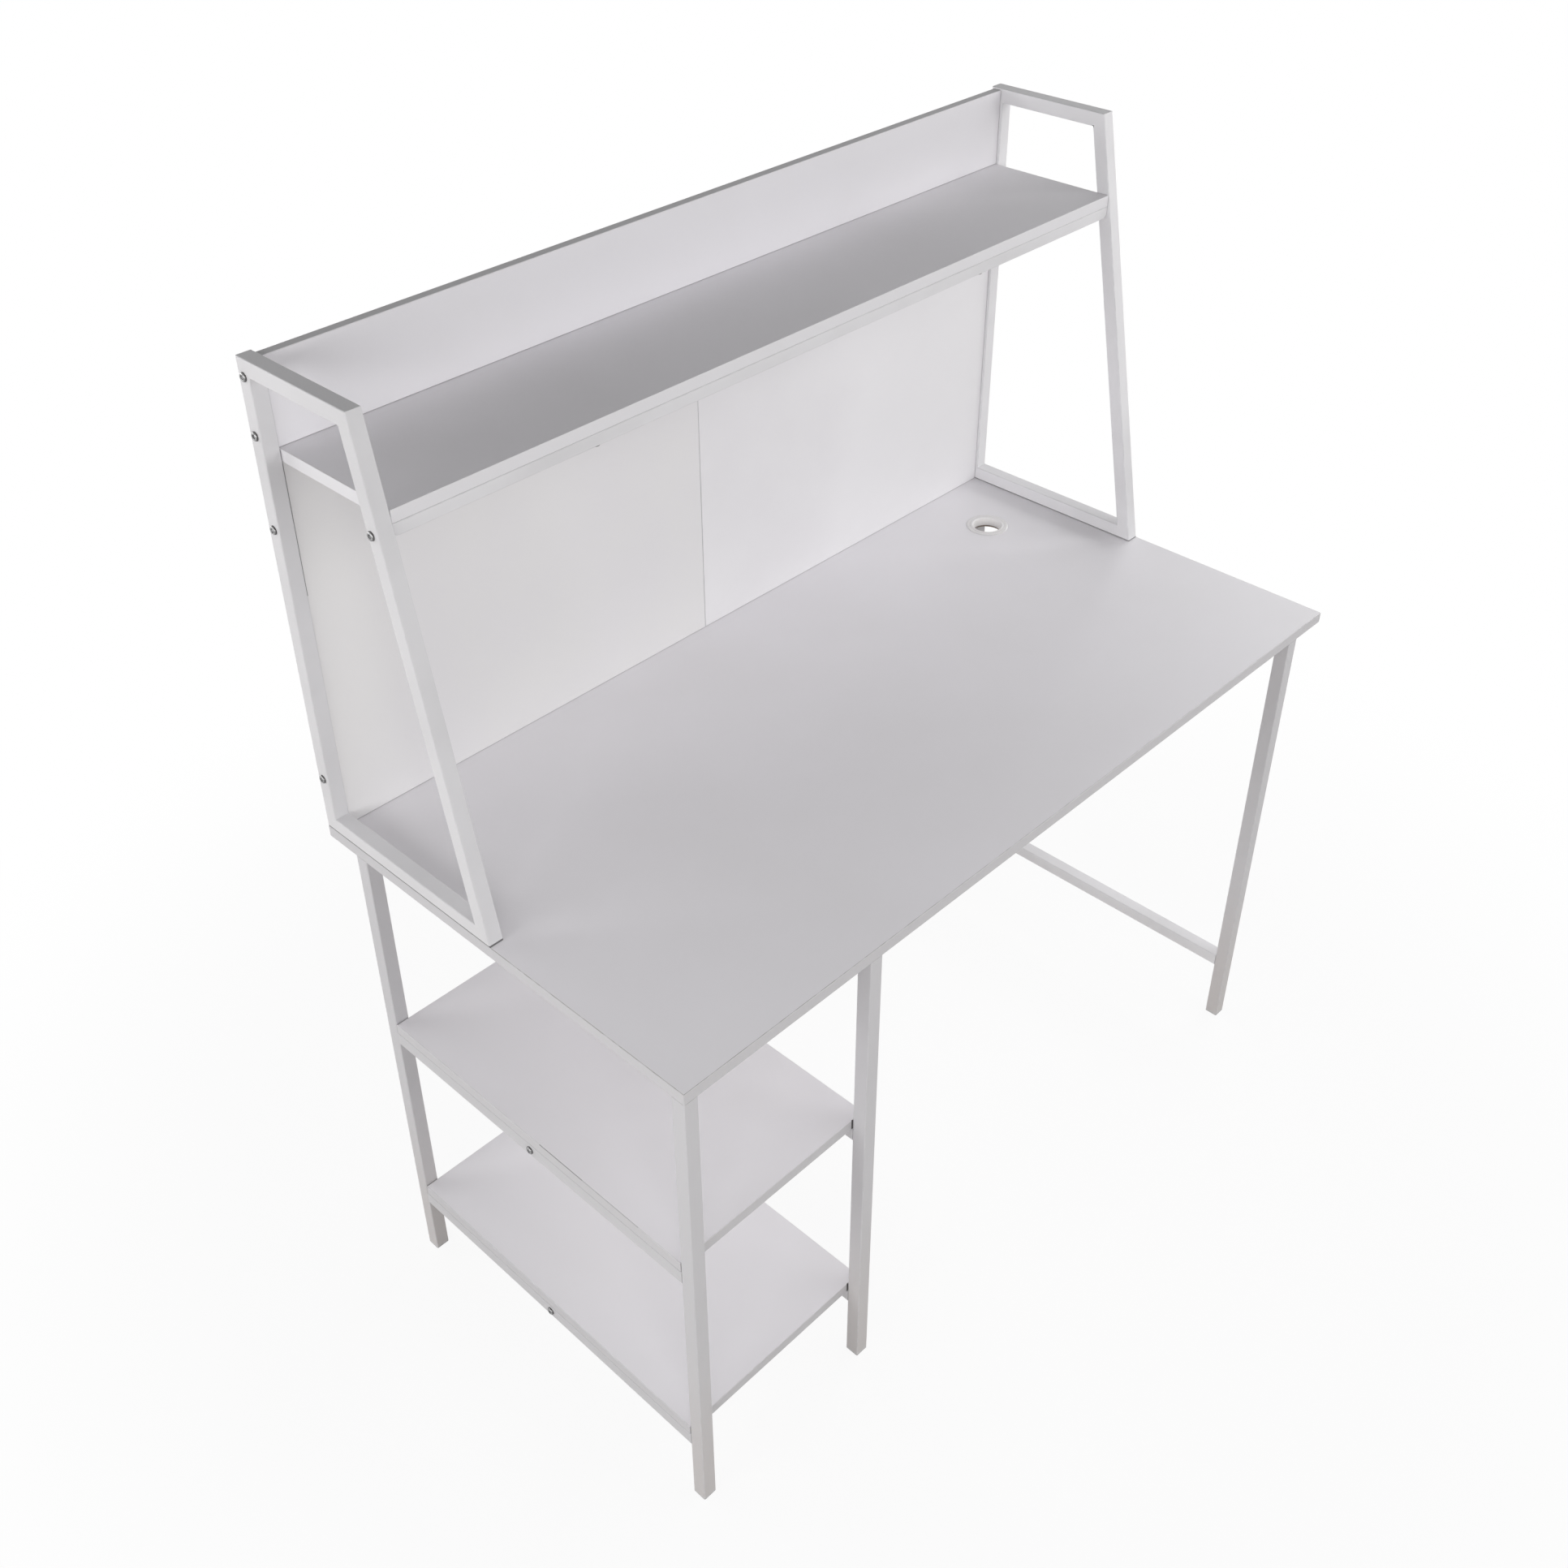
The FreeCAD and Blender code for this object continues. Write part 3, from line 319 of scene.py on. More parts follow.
# Painted light and shade: the middle shelf lighter, the low one darker.
SHELF_LIGHT_AND_SHADE_TONES = {
    "mid": (0.825, 0.81, 0.837, 1.0),
    "low": (0.765, 0.75, 0.777, 1.0),
}
GAP_SLACK = 0.001
# Painted shade in the seats, the slit beside the leg and the open joint.
SEAT_GAP_SHADE = (0.0012, 0.75)
SLIT_GAP_SHADE = (0.0008, 0.95)
SLIT_REACH = 0.0014
OPEN_JOINT_SHADES = {"mid": ((-0.213, -0.120, 0.35), (-0.120, -0.045, 0.65)), "low": ()}
OPEN_HEIGHT = 0.0004
OPEN_DEPTH = 0.0012


def laminate_board(name, box, flat_axis, line, shade_gaps, tone=LAMINATE, rim=SHADED_BAND):
    """Laminated board: faint pores, a glue line inside each edge band that fades to the right, and painted
    shade in its gaps.
    """
    material, tree, shader, place = new_finish(name)
    low, high = box
    sides = to_sides(tree, place, low, high)
    edge = to_edge(tree, sides)
    band = fade(tree, sides[flat_axis], *BAND_START, 0.0, 1.0)
    inner = fade(tree, edge, BAND_THICKNESS - LINE_WIDTH, BAND_THICKNESS, 0.0, 1.0)
    outer = fade(tree, edge, BAND_THICKNESS, BAND_THICKNESS + LINE_WIDTH, 1.0, 0.0)
    glue = fade(tree, split_axes(tree, place)[WIDE], low.x, high.x, line, LINE_AT_RIGHT * line)
    for share in (inner, outer, calc(tree, "SUBTRACT", 1.0, band), mottle(tree, place, *LINE_STREAKS)):
        glue = calc(tree, "MULTIPLY", glue, share)
    face = tint(tree, mottle(tree, place, *HAZE), tone, LAMINATE_WORN)
    face = tint(tree, band, face, rim)
    face = tint(tree, glue, face, GLUE_LINE)
    if shade_gaps:
        face = tint(tree, painted_gap_shade(tree, place, shade_gaps), face, PAINTED_SHADE_DARK)
    tree.links.new(face, shader.inputs["Base Color"])
    shader.inputs["Specular IOR Level"].default_value = BOARD_GLOSS
    fine_grain(tree, shader, place, BOARD_PORES, BOARD_ROUGHNESS, BOARD_RELIEF)
    return material


def strip(box, axis, at_high, width, darkness, spans=()):
    """Painted gap shade along a piece's outermost strip, at one end of an axis; spans cut it short on other
    axes.
    """
    low, high = (Vector(corner) for corner in box)
    inner = high[axis] - width if at_high else low[axis] + width
    slack = Vector((GAP_SLACK, GAP_SLACK, GAP_SLACK))
    low -= slack
    high += slack
    if at_high:
        low[axis] = inner
    else:
        high[axis] = inner
    for other, start, end in spans:
        low[other] = start
        high[other] = end
    return low, high, darkness


leg_low, leg_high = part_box("leg_left_front")
leg_side = leg_high.x - leg_low.x
for level in LEVELS:
    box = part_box(f"bay_shelf_{level}")
    left_end = box[0].x
    leg_face = box[1].x - leg_side
    shade_gaps = [
        strip(box, DEEP, False, *SLIT_GAP_SHADE, [(WIDE, leg_face - SLIT_REACH, leg_face + SLIT_REACH)]),
        strip(box, TALL, False, *SEAT_GAP_SHADE, [(WIDE, left_end - GAP_SLACK, left_end + GAP_SLACK)]),
    ]
    left_band = (WIDE, left_end - GAP_SLACK, left_end + OPEN_DEPTH)
    for start, end, darkness in OPEN_JOINT_SHADES[level]:
        shade_gaps.append(strip(box, TALL, True, OPEN_HEIGHT, darkness, [(DEEP, start, end), left_band]))
    dress(f"bay_shelf_{level}", laminate_board(
        f"white laminate bay_shelf_{level}", box, TALL, SHELF_LINE, shade_gaps, SHELF_LIGHT_AND_SHADE_TONES[level]))


# Desktop
# One large board of the same laminate, with a fine dark glue line along its edges,
# strongest at the left. The drilled cable hole shows raw chips.
DESK_LINE = 1.0
RAW_BOARD = (0.30, 0.21, 0.14, 1.0)
RAW_CHIPS = (0.17, 0.115, 0.075, 1.0)
CHIPS = (500.0, 4.0, 0.35, 0.65, 0.0, 1.0)
RAW_REACH = (0.0236, 0.0244)


def drill_core(board, middle):
    """Raw chips on the wall of a hole drilled through a board, and along its rim."""
    tree = board.node_tree
    base = tree.nodes["Principled BSDF"].inputs["Base Color"]
    faced = base.links[0].from_socket
    place = tree.nodes.new("ShaderNodeTexCoord").outputs["Object"]
    axes = split_axes(tree, place)
    level_place = tree.nodes.new("ShaderNodeCombineXYZ")
    tree.links.new(axes[WIDE], level_place.inputs[0])
    tree.links.new(axes[DEEP], level_place.inputs[1])
    from_middle = tree.nodes.new("ShaderNodeVectorMath")
    from_middle.operation = "DISTANCE"
    tree.links.new(level_place.outputs[0], from_middle.inputs[0])
    from_middle.inputs[1].default_value = (middle.x, middle.y, 0.0)
    raw = fade(tree, from_middle.outputs["Value"], *RAW_REACH, 1.0, 0.0)
    core = tint(tree, mottle(tree, place, *CHIPS), RAW_BOARD, RAW_CHIPS)
    tree.links.new(tint(tree, raw, faced, core), base)


ring_low, ring_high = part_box("cable_grommet")
ring_middle = (ring_low + ring_high) / 2
desk_low, desk_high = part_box("desktop")
desk_finish = laminate_board("white laminate desktop", (desk_low, desk_high), TALL, DESK_LINE, ())
drill_core(desk_finish, ring_middle)
dress("desktop", desk_finish)


# Cable grommet
# Moulded plastic ring, pressed into the hole near the right back corner: a low
# crowned flange with a shallow groove round its middle and a rounded inner lip.
RING_WHITE = (0.78, 0.765, 0.767, 1.0)
RING_STREAK = (0.74, 0.725, 0.722, 1.0)
RING_ROUGHNESS = (0.26, 0.36)
RING_RELIEF = (0.03, 0.0002)
RING_GRAIN = (1800.0, 1.0)
FLOW_MARKS = (160.0, 3.0, 0.35, 0.7, 0.0, 0.5)
RING_STEPS = 96
BORE = 0.0205
SLEEVE = 0.0230
FLANGE = 0.0305
CROWN = 0.0013
LIP = 0.0013
RIM = 0.0026
RIM_HEIGHT = 0.0010
GROOVE = (0.0036, 0.0042, 0.0047, 0.0053)
GROOVE_DEPTH = 0.0003
FOOT_CHAMFER = 0.0010
CURVE_STEPS = 5
SHARP_ANGLE = math.radians(38)
ROUND = 0
CLEAN = 0.0
# Painted shade at the foot of the bore, in the groove, at the flange's rim and under it.
FOOT_SHADE = 0.75
GROOVE_SHADE = 0.12
RIM_SHADE = 0.2
UNDER_RIM_SHADE = 0.5


def rounded(level_end, upright_end):
    """Rows along a quarter ellipse, from the end where it lies level to the one where it stands upright."""
    level_radius, level_height, level_shade = level_end
    upright_radius, upright_height, upright_shade = upright_end
    rows = []
    for step in range(CURVE_STEPS + 1):
        share = step / CURVE_STEPS
        turn = math.pi / 2 * share
        radius = level_radius + (upright_radius - level_radius) * math.sin(turn)
        height = upright_height + (level_height - upright_height) * math.cos(turn)
        shade = level_shade + (upright_shade - level_shade) * share
        rows.append((radius, height, ROUND, shade))
    return rows


def turned(name, rows, steps):
    """Mesh turned about Z from rows of radius, height, number of flats and shade."""
    shape = bmesh.new()
    shading = shape.verts.layers.float.new("shade")
    rings = []
    for radius, height, flats, shade in rows:
        ring = []
        for step in range(steps if radius else 1):
            angle = math.tau * step / steps
            reach = radius
            if flats:
                half = math.pi / flats
                reach = radius * math.cos(half) / math.cos(angle % (2 * half) - half)
            corner = shape.verts.new((reach * math.cos(angle), reach * math.sin(angle), height))
            corner[shading] = shade
            ring.append(corner)
        rings.append(ring)
    pairs = list(zip(rings, rings[1:]))
    if len(rings[0]) > 1 and len(rings[-1]) > 1:
        pairs.append((rings[-1], rings[0]))
    for first, second in pairs:
        for step in range(steps):
            after = (step + 1) % steps
            corners = [first[step % len(first)], first[after % len(first)],
                       second[after % len(second)], second[step % len(second)]]
            face = list(dict.fromkeys(corners))
            if len(face) > 2:
                shape.faces.new(face)
    bmesh.ops.recalc_face_normals(shape, faces=shape.faces)
    mesh = bpy.data.meshes.new(name)
    shape.to_mesh(mesh)
    shape.free()
    mesh.shade_smooth()
    mesh.set_sharp_from_angle(angle=SHARP_ANGLE)
    return mesh


def turned_shade(tree, colour):
    """Darken a colour by the painted shade that a turned piece carries."""
    shade = tree.nodes.new("ShaderNodeAttribute")
    shade.attribute_name = "shade"
    return tint(tree, shade.outputs["Fac"], colour, PAINTED_SHADE_DARK)


def moulded_ring():
    """Satin white plastic with faint flow marks, and painted shade in its groove, under its rim and at the
    foot of its bore.
    """
    material, tree, shader, place = new_finish("satin white grommet")
    colour = tint(tree, mottle(tree, place, *FLOW_MARKS), RING_WHITE, RING_STREAK)
    tree.links.new(turned_shade(tree, colour), shader.inputs["Base Color"])
    fine_grain(tree, shader, place, RING_GRAIN, RING_ROUGHNESS, RING_RELIEF)
    return material


ring_foot = ring_low.z - desk_high.z
groove_start, groove_in, groove_out, groove_end = (BORE + reach for reach in GROOVE)
ring_mesh = turned("cable_ring", [
    (BORE, ring_foot, ROUND, FOOT_SHADE),
    (BORE, ring_foot + FOOT_CHAMFER, ROUND, CLEAN),
    *reversed(rounded((BORE + LIP, CROWN, CLEAN), (BORE, CROWN - LIP, CLEAN))),
    (groove_start, CROWN, ROUND, CLEAN),
    (groove_in, CROWN - GROOVE_DEPTH, ROUND, GROOVE_SHADE),
    (groove_out, CROWN - GROOVE_DEPTH, ROUND, GROOVE_SHADE),
    (groove_end, RIM_HEIGHT, ROUND, CLEAN),
    *rounded((FLANGE - RIM, RIM_HEIGHT, CLEAN), (FLANGE, 0.0, RIM_SHADE)),
    (SLEEVE, 0.0, ROUND, UNDER_RIM_SHADE),
    (SLEEVE, ring_foot, ROUND, FOOT_SHADE),
], RING_STEPS)
ring_mesh.transform(Matrix.Translation((ring_middle.x, ring_middle.y, desk_high.z)))
cable_ring = bpy.data.objects.new("cable_ring", ring_mesh)
bpy.context.scene.collection.objects.link(cable_ring)
ring_mesh.materials.append(moulded_ring())
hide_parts("cable_grommet")
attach(cable_ring, "root")


# Hutch side frames
# Four mitred tubes a side, welded into a frame that leans back at the front, dressed
# flush and powder coated. Both frames are painted lighter than the legs and the right one
# lighter still, as painted light. Painted shade draws a dark line where each foot bar sits
# on the desktop, and a spot of it marks a pore in a weld at the right frame's top.
# Painted light: lighter coat tones for the frames, the right one lightest.
FRAME_LIT_TONES = {"left": (0.69, 0.682, 0.697, 1.0), "right": (0.785, 0.777, 0.793, 1.0)}
# Painted shade along each foot bar's seat on the desktop and in the weld pore.
FOOT_SEAM_SHADES = {"left": (0.0024, 0.85), "right": (0.0017, 0.75)}
PORE_SIZE = 0.0016
PORE_INSET = 0.004
PORE_SHADE_DARKNESS = 0.9
slant_low, slant_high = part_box("hutch_front_upright_right")
back_low, back_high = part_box("hutch_back_upright_right")
top_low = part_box("hutch_top_bar_right")[0]
lean = (top_low.y - slant_low.y) / (slant_high.z - slant_low.z)
slant_depth = leaning_depth(slant_high.x - slant_low.x, lean)
pore_middle = Vector((back_low.x, top_low.y + slant_depth - PORE_INSET, top_low.z))
pore_reach = Vector((PORE_SIZE, PORE_SIZE, PORE_SIZE))
weld_pores = {"left": [], "right": [(pore_middle - pore_reach, pore_middle + pore_reach, PORE_SHADE_DARKNESS)]}
for side, pores in weld_pores.items():
    coat = FRAME_LIT_TONES[side]
    foot_seam_shade = strip(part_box(f"hutch_foot_bar_{side}"), TALL, False, *FOOT_SEAM_SHADES[side])
    coat_tube(f"hutch_back_upright_{side}", coat)
    coat_tube(f"hutch_top_bar_{side}", coat, pores)
    coat_tube(f"hutch_foot_bar_{side}", coat, [foot_seam_shade])
    coat_tube(f"hutch_front_upright_{side}", coat, [foot_seam_shade] + pores, lean)


# Hutch shelf and its rail
# A long laminated board, its front edge in line with the leaning uprights, carried
# there by a small coated tube with solid rounded ends.
# The hutch shelf's band is painted less dark than the others, as painted shade.
HUTCH_SHADED_BAND = (0.745, 0.735, 0.755, 1.0)
HUTCH_LINE = 0.4
# Painted shade draws a faint dark line where the shelf sits on its rail.
RAIL_SEAM_SHADE = (0.0006, 0.4)
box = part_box("hutch_shelf")
rail_seam_shade = strip(box, TALL, False, *RAIL_SEAM_SHADE)
dress("hutch_shelf", laminate_board(
    "white laminate hutch shelf", box, TALL, HUTCH_LINE, [rail_seam_shade], LAMINATE, HUTCH_SHADED_BAND))
# The rail takes the same lighter coat, as painted light.
coat_tube("hutch_shelf_rail", LIT_COAT)


# Back panels
# Three thin laminated boards, bolted between the back uprights: one above the shelf,
# two side by side below it. A wedge of painted shade beside the lower left one shows that
# it stands off its upright a little towards its top. Painted shade also draws their bottom
# seams and the joint between the lower two. The lower left one is painted a darker, warmer
# white and the lower right one a lighter white, as painted shade and light.
# Painted shade and light: the lower left panel darker, the lower right one lighter.
PANEL_SHADED_WARM = (0.785, 0.775, 0.775, 1.0)
PANEL_LIT_COOL = (0.825, 0.815, 0.83, 1.0)
UPPER_LINE = 0.3
LOWER_LINE = 0.2
# Painted shade along the panels' bottoms, in the joint and in the stand-off wedge.
UPPER_SEAM_SHADE = (0.0008, 0.5)
BASE_SEAM_SHADE = (0.0009, 0.45)
STAND_OFF_SHADE = ((0.33, 0.0010, 0.6), (0.66, 0.0016, 0.95))
JOINT_SEAM_SHADE = (0.0006, 0.5)
JOINT_TOP = 0.5
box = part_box("back_panel_upper")
dress("back_panel_upper", laminate_board(
    "white laminate upper panel", box, DEEP, UPPER_LINE, [strip(box, TALL, False, *UPPER_SEAM_SHADE)]))
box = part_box("back_panel_lower_left")
panel_foot = box[0].z
panel_head = box[1].z
panel_height = panel_head - panel_foot
joint_span = (TALL, panel_foot - GAP_SLACK, panel_foot + JOINT_TOP * panel_height)
shade_gaps = [strip(box, TALL, False, *BASE_SEAM_SHADE), strip(box, WIDE, True, *JOINT_SEAM_SHADE, [joint_span])]
for start, width, darkness in STAND_OFF_SHADE:
    wedge_span = (TALL, panel_foot + start * panel_height, panel_head + GAP_SLACK)
    shade_gaps.append(strip(box, WIDE, False, width, darkness, [wedge_span]))
dress("back_panel_lower_left", laminate_board(
    "white laminate left panel", box, DEEP, LOWER_LINE, shade_gaps, PANEL_SHADED_WARM))
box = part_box("back_panel_lower_right")
dress("back_panel_lower_right", laminate_board(
    "white laminate right panel", box, DEEP, LOWER_LINE, [strip(box, TALL, False, *BASE_SEAM_SHADE)], PANEL_LIT_COOL))


# Machine bolts
# Low round-headed bolts with a hexagon socket, zinc plated, driven through the tubes
# from outside or up from below. One turned bolt of each length is copied to every
# seat and turned at random about its own axis.
ZINC = (0.44, 0.44, 0.445, 1.0)
ZINC_DULL = (0.22, 0.22, 0.22, 1.0)
ZINC_ROUGHNESS = (0.24, 0.40)
ZINC_RELIEF = (0.08, 0.0002)
ZINC_SCRATCHES = (2400.0, 2.0)
ZINC_BLOOM = (420.0, 4.0, 0.4, 0.75, 0.0, 0.8)
BOLT_STEPS = 36
SPIN_SEED = 7
BOLT_SHANK = 0.0030
BOLT_TIP = 0.0022
BOLT_CHAMFER = 0.0010
SOCKET = 0.00255
SOCKET_FLOOR = -0.0011
SOCKET_MOUTH = -0.0023
HEAD_MOUTH = (0.00280, -0.0025)
HEAD_CROWN = (0.00340, -0.0026)
HEAD_RIM = (0.00525, -0.0003)
HEAD_SEAT = 0.00515
HEXAGON = 6
# Painted shade in the hexagon socket, round the head's rim where it meets the tube, and on the shank.
SOCKET_SHADE = 0.1
SOCKET_MOUTH_SHADE = 0.4
HEAD_MOUTH_SHADE = 0.3
SEAT_SHADE = 1.0
SHANK_SHADE = 0.2
LONG_BOLT = 0.035
SHORT_BOLT = 0.025
LOWER_INSET = 0.074
UPPER_INSET = 0.018
SHELF_BOLT_REACH = 0.318
MOUNT_FROM_FRONT = 0.060
MOUNT_FROM_BACK = 0.120
TURNS = {"+x": (0.0, math.pi / 2, 0.0), "-x": (0.0, -math.pi / 2, 0.0), "+z": (0.0, 0.0, 0.0)}


def zinc_plate():
    """Bright plated steel, cloudy and duller in patches, darkened by the painted shade that its turned
    shape carries.
    """
    material, tree, shader, place = new_finish("bright zinc plate")
    colour = tint(tree, mottle(tree, place, *ZINC_BLOOM), ZINC, ZINC_DULL)
    tree.links.new(turned_shade(tree, colour), shader.inputs["Base Color"])
    shader.inputs["Metallic"].default_value = 1.0
    fine_grain(tree, shader, place, ZINC_SCRATCHES, ZINC_ROUGHNESS, ZINC_RELIEF)
    return material


def bolt_rows(length):
    """Outline of a bolt from its socket's floor, over the head and down to its tip."""
    return [
        (0.0, SOCKET_FLOOR, ROUND, CLEAN),
        (SOCKET, SOCKET_FLOOR, HEXAGON, SOCKET_SHADE),
        (SOCKET, SOCKET_MOUTH, HEXAGON, SOCKET_MOUTH_SHADE),
        (*HEAD_MOUTH, ROUND, HEAD_MOUTH_SHADE),
        *rounded((*HEAD_CROWN, CLEAN), (*HEAD_RIM, SEAT_SHADE)),
        (HEAD_SEAT, 0.0, ROUND, SEAT_SHADE),
        (BOLT_SHANK, 0.0, ROUND, SHANK_SHADE),
        (BOLT_SHANK, length - BOLT_CHAMFER, ROUND, SHANK_SHADE),
        (BOLT_TIP, length, ROUND, SHANK_SHADE),
        (0.0, length, ROUND, SHANK_SHADE),
    ]


def seat_tree():
    """Node tree that sets one fastener on every seat, along the seat's own turn."""
    tree = bpy.data.node_groups.new("fasteners on seats", "GeometryNodeTree")
    for label, kind in (("Seats", "NodeSocketGeometry"), ("Fastener", "NodeSocketObject"),
                        ("Finish", "NodeSocketMaterial"), ("Seed", "NodeSocketInt")):
        tree.interface.new_socket(label, in_out="INPUT", socket_type=kind)
    tree.interface.new_socket("Set", in_out="OUTPUT", socket_type="NodeSocketGeometry")
    given = tree.nodes.new("NodeGroupInput")
    result = tree.nodes.new("NodeGroupOutput")
    spots = tree.nodes.new("GeometryNodeMeshToPoints")
    shape = tree.nodes.new("GeometryNodeObjectInfo")
    turn = tree.nodes.new("GeometryNodeInputNamedAttribute")
    turn.data_type = "FLOAT_VECTOR"
    turn.inputs["Name"].default_value = "turn"
    facing = tree.nodes.new("FunctionNodeEulerToRotation")
    chance = tree.nodes.new("FunctionNodeRandomValue")
    chance.data_type = "FLOAT"
    chance_sockets = {s.name: s for s in chance.inputs if s.enabled}
    chance_sockets["Max"].default_value = math.tau
    about = tree.nodes.new("ShaderNodeCombineXYZ")
    spin = tree.nodes.new("FunctionNodeEulerToRotation")
    both = tree.nodes.new("FunctionNodeRotateRotation")
    both.rotation_space = "LOCAL"
    copies = tree.nodes.new("GeometryNodeInstanceOnPoints")
    real = tree.nodes.new("GeometryNodeRealizeInstances")
    coat = tree.nodes.new("GeometryNodeSetMaterial")
    join = tree.links.new
    join(given.outputs["Seats"], spots.inputs["Mesh"])
    join(given.outputs["Fastener"], shape.inputs["Object"])
    join(given.outputs["Seed"], chance_sockets["Seed"])
    join([s for s in turn.outputs if s.enabled][0], facing.inputs[0])
    join([s for s in chance.outputs if s.enabled][0], about.inputs["Z"])
    join(about.outputs[0], spin.inputs[0])
    join(facing.outputs[0], both.inputs[0])
    join(spin.outputs[0], both.inputs[1])
    join(spots.outputs["Points"], copies.inputs["Points"])
    join(shape.outputs["Geometry"], copies.inputs["Instance"])
    join(both.outputs[0], copies.inputs["Rotation"])
    join(copies.outputs["Instances"], real.inputs["Geometry"])
    join(real.outputs["Geometry"], coat.inputs["Geometry"])
    join(given.outputs["Finish"], coat.inputs["Material"])
    join(coat.outputs["Geometry"], result.inputs["Set"])
    return tree


FASTENERS = seat_tree()
PLATE = zinc_plate()


def pattern_of(name, rows, steps):
    """One fastener to be copied, taken away again once its sets are made."""
    pattern = bpy.data.objects.new(name, turned(name, rows, steps))
    bpy.context.scene.collection.objects.link(pattern)
    return pattern


def set_fasteners(node, pattern, seats):
    """Set a plated fastener on each seat, and let the set stand for a node."""
    name = f"{node}_turned"
    mesh = bpy.data.meshes.new(name)
    mesh.from_pydata([place for way, place in seats], [], [])
    turns = mesh.attributes.new("turn", "FLOAT_VECTOR", "POINT")
    for item, (way, place) in zip(turns.data, seats):
        item.vector = TURNS[way]
    piece = bpy.data.objects.new(name, mesh)
    bpy.context.scene.collection.objects.link(piece)
    maker = piece.modifiers.new("fasteners", "NODES")
    maker.node_group = FASTENERS
    values = {"Fastener": pattern, "Finish": PLATE, "Seed": SPIN_SEED}
    for item in FASTENERS.interface.items_tree:
        if item.in_out == "INPUT" and item.name in values:
            maker[item.identifier] = values[item.name]
    graph = bpy.context.evaluated_depsgraph_get()
    made = bpy.data.meshes.new_from_object(piece.evaluated_get(graph), depsgraph=graph)
    piece.modifiers.remove(maker)
    piece.data = made
    made.name = name
    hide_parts(node)
    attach(piece, "root")


long_bolt = pattern_of("long_bolt", bolt_rows(LONG_BOLT), BOLT_STEPS)
right_face = back_high.x
left_face = -right_face
upright_middle = (back_low.y + back_high.y) / 2
upper_foot, upper_head = (corner.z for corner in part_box("back_panel_upper"))
panel_heights = (panel_foot + LOWER_INSET, panel_head - LOWER_INSET,
                 upper_foot + UPPER_INSET, upper_head - UPPER_INSET)
set_fasteners("panel_bolts", long_bolt, [
    (way, (face, upright_middle, height))
    for way, face in (("+x", left_face), ("-x", right_face)) for height in panel_heights
])
rail_low, rail_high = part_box("hutch_shelf_rail")
rail_middle = (rail_low + rail_high) / 2
set_fasteners("hutch_rail_bolts", long_bolt, [
    ("+x", (left_face, rail_middle.y, rail_middle.z)),
    ("-x", (right_face, rail_middle.y, rail_middle.z)),
])
bay_seats = []
for level in LEVELS:
    near_low, near_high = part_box(f"side_rail_left_{level}")
    far_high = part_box(f"side_rail_middle_{level}")[1]
    spot = (near_low + near_high) / 2
    bay_seats.append(("+x", (near_low.x, spot.y, spot.z)))
    bay_seats.append(("-x", (far_high.x, spot.y, spot.z)))
set_fasteners("shelf_stretcher_bolts", long_bolt, bay_seats)
tie_low, tie_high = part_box("back_stretcher")
tie_middle = (tie_low + tie_high) / 2
set_fasteners("back_stretcher_bolts", long_bolt, [
    ("+x", (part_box("leg_middle_back")[0].x, tie_middle.y, tie_middle.z)),
    ("-x", (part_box("leg_right_back")[1].x, tie_middle.y, tie_middle.z)),
])
short_bolt = pattern_of("short_bolt", bolt_rows(SHORT_BOLT), BOLT_STEPS)
set_fasteners("hutch_shelf_bolts", short_bolt, [
    ("+z", (reach, rail_middle.y, rail_low.z)) for reach in (-SHELF_BOLT_REACH, SHELF_BOLT_REACH)
])
foot_low, foot_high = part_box("hutch_foot_bar_left")
foot_middle = (foot_low.x + foot_high.x) / 2
mount_depths = (foot_low.y + MOUNT_FROM_FRONT, foot_high.y - MOUNT_FROM_BACK)
set_fasteners("hutch_mount_bolts", short_bolt, [
    ("+z", (x, y, desk_low.z)) for x in (foot_middle, -foot_middle) for y in mount_depths
])
bpy.data.objects.remove(long_bolt)
bpy.data.objects.remove(short_bolt)


# Wood screws
# Pan-headed screws with a square recess, up through the leg tabs into the
# desktop and up through the stretchers into the bay shelves.
SCREW_STEPS = 24
SCREW_SHANK = 0.0020
SCREW_POINT = 0.0030
RECESS_FLOOR = (0.0013, -0.0011)
RECESS_MOUTH = (0.0014, -0.0023)
PAN_CROWN = (0.0018, -0.0024)
PAN_RIM = (0.0040, -0.0006)
PAN_SEAT = 0.0039
SQUARE = 4
# Painted shade in the square recess, round the pan's rim and on the shank.
RECESS_FLOOR_SHADE = 0.6
RECESS_CORNER_SHADE = 1.0
RECESS_MOUTH_SHADE = 0.7
PAN_RIM_SHADE = 0.7
TAB_SCREW = 0.014
TAB_INSETS = (0.009, 0.029)
SHELF_SCREW = 0.030
SHELF_SCREW_INSET = 0.060


def screw_rows(length):
    """Outline of a screw from its recess, over the pan head and down to its point."""
    return [
        (0.0, RECESS_FLOOR[1], ROUND, RECESS_FLOOR_SHADE),
        (*RECESS_FLOOR, SQUARE, RECESS_CORNER_SHADE),
        (*RECESS_MOUTH, SQUARE, RECESS_MOUTH_SHADE),
        *rounded((*PAN_CROWN, CLEAN), (*PAN_RIM, PAN_RIM_SHADE)),
        (PAN_SEAT, 0.0, ROUND, SEAT_SHADE),
        (SCREW_SHANK, 0.0, ROUND, SHANK_SHADE),
        (SCREW_SHANK, length - SCREW_POINT, ROUND, SHANK_SHADE),
        (0.0, length, ROUND, SHANK_SHADE),
    ]


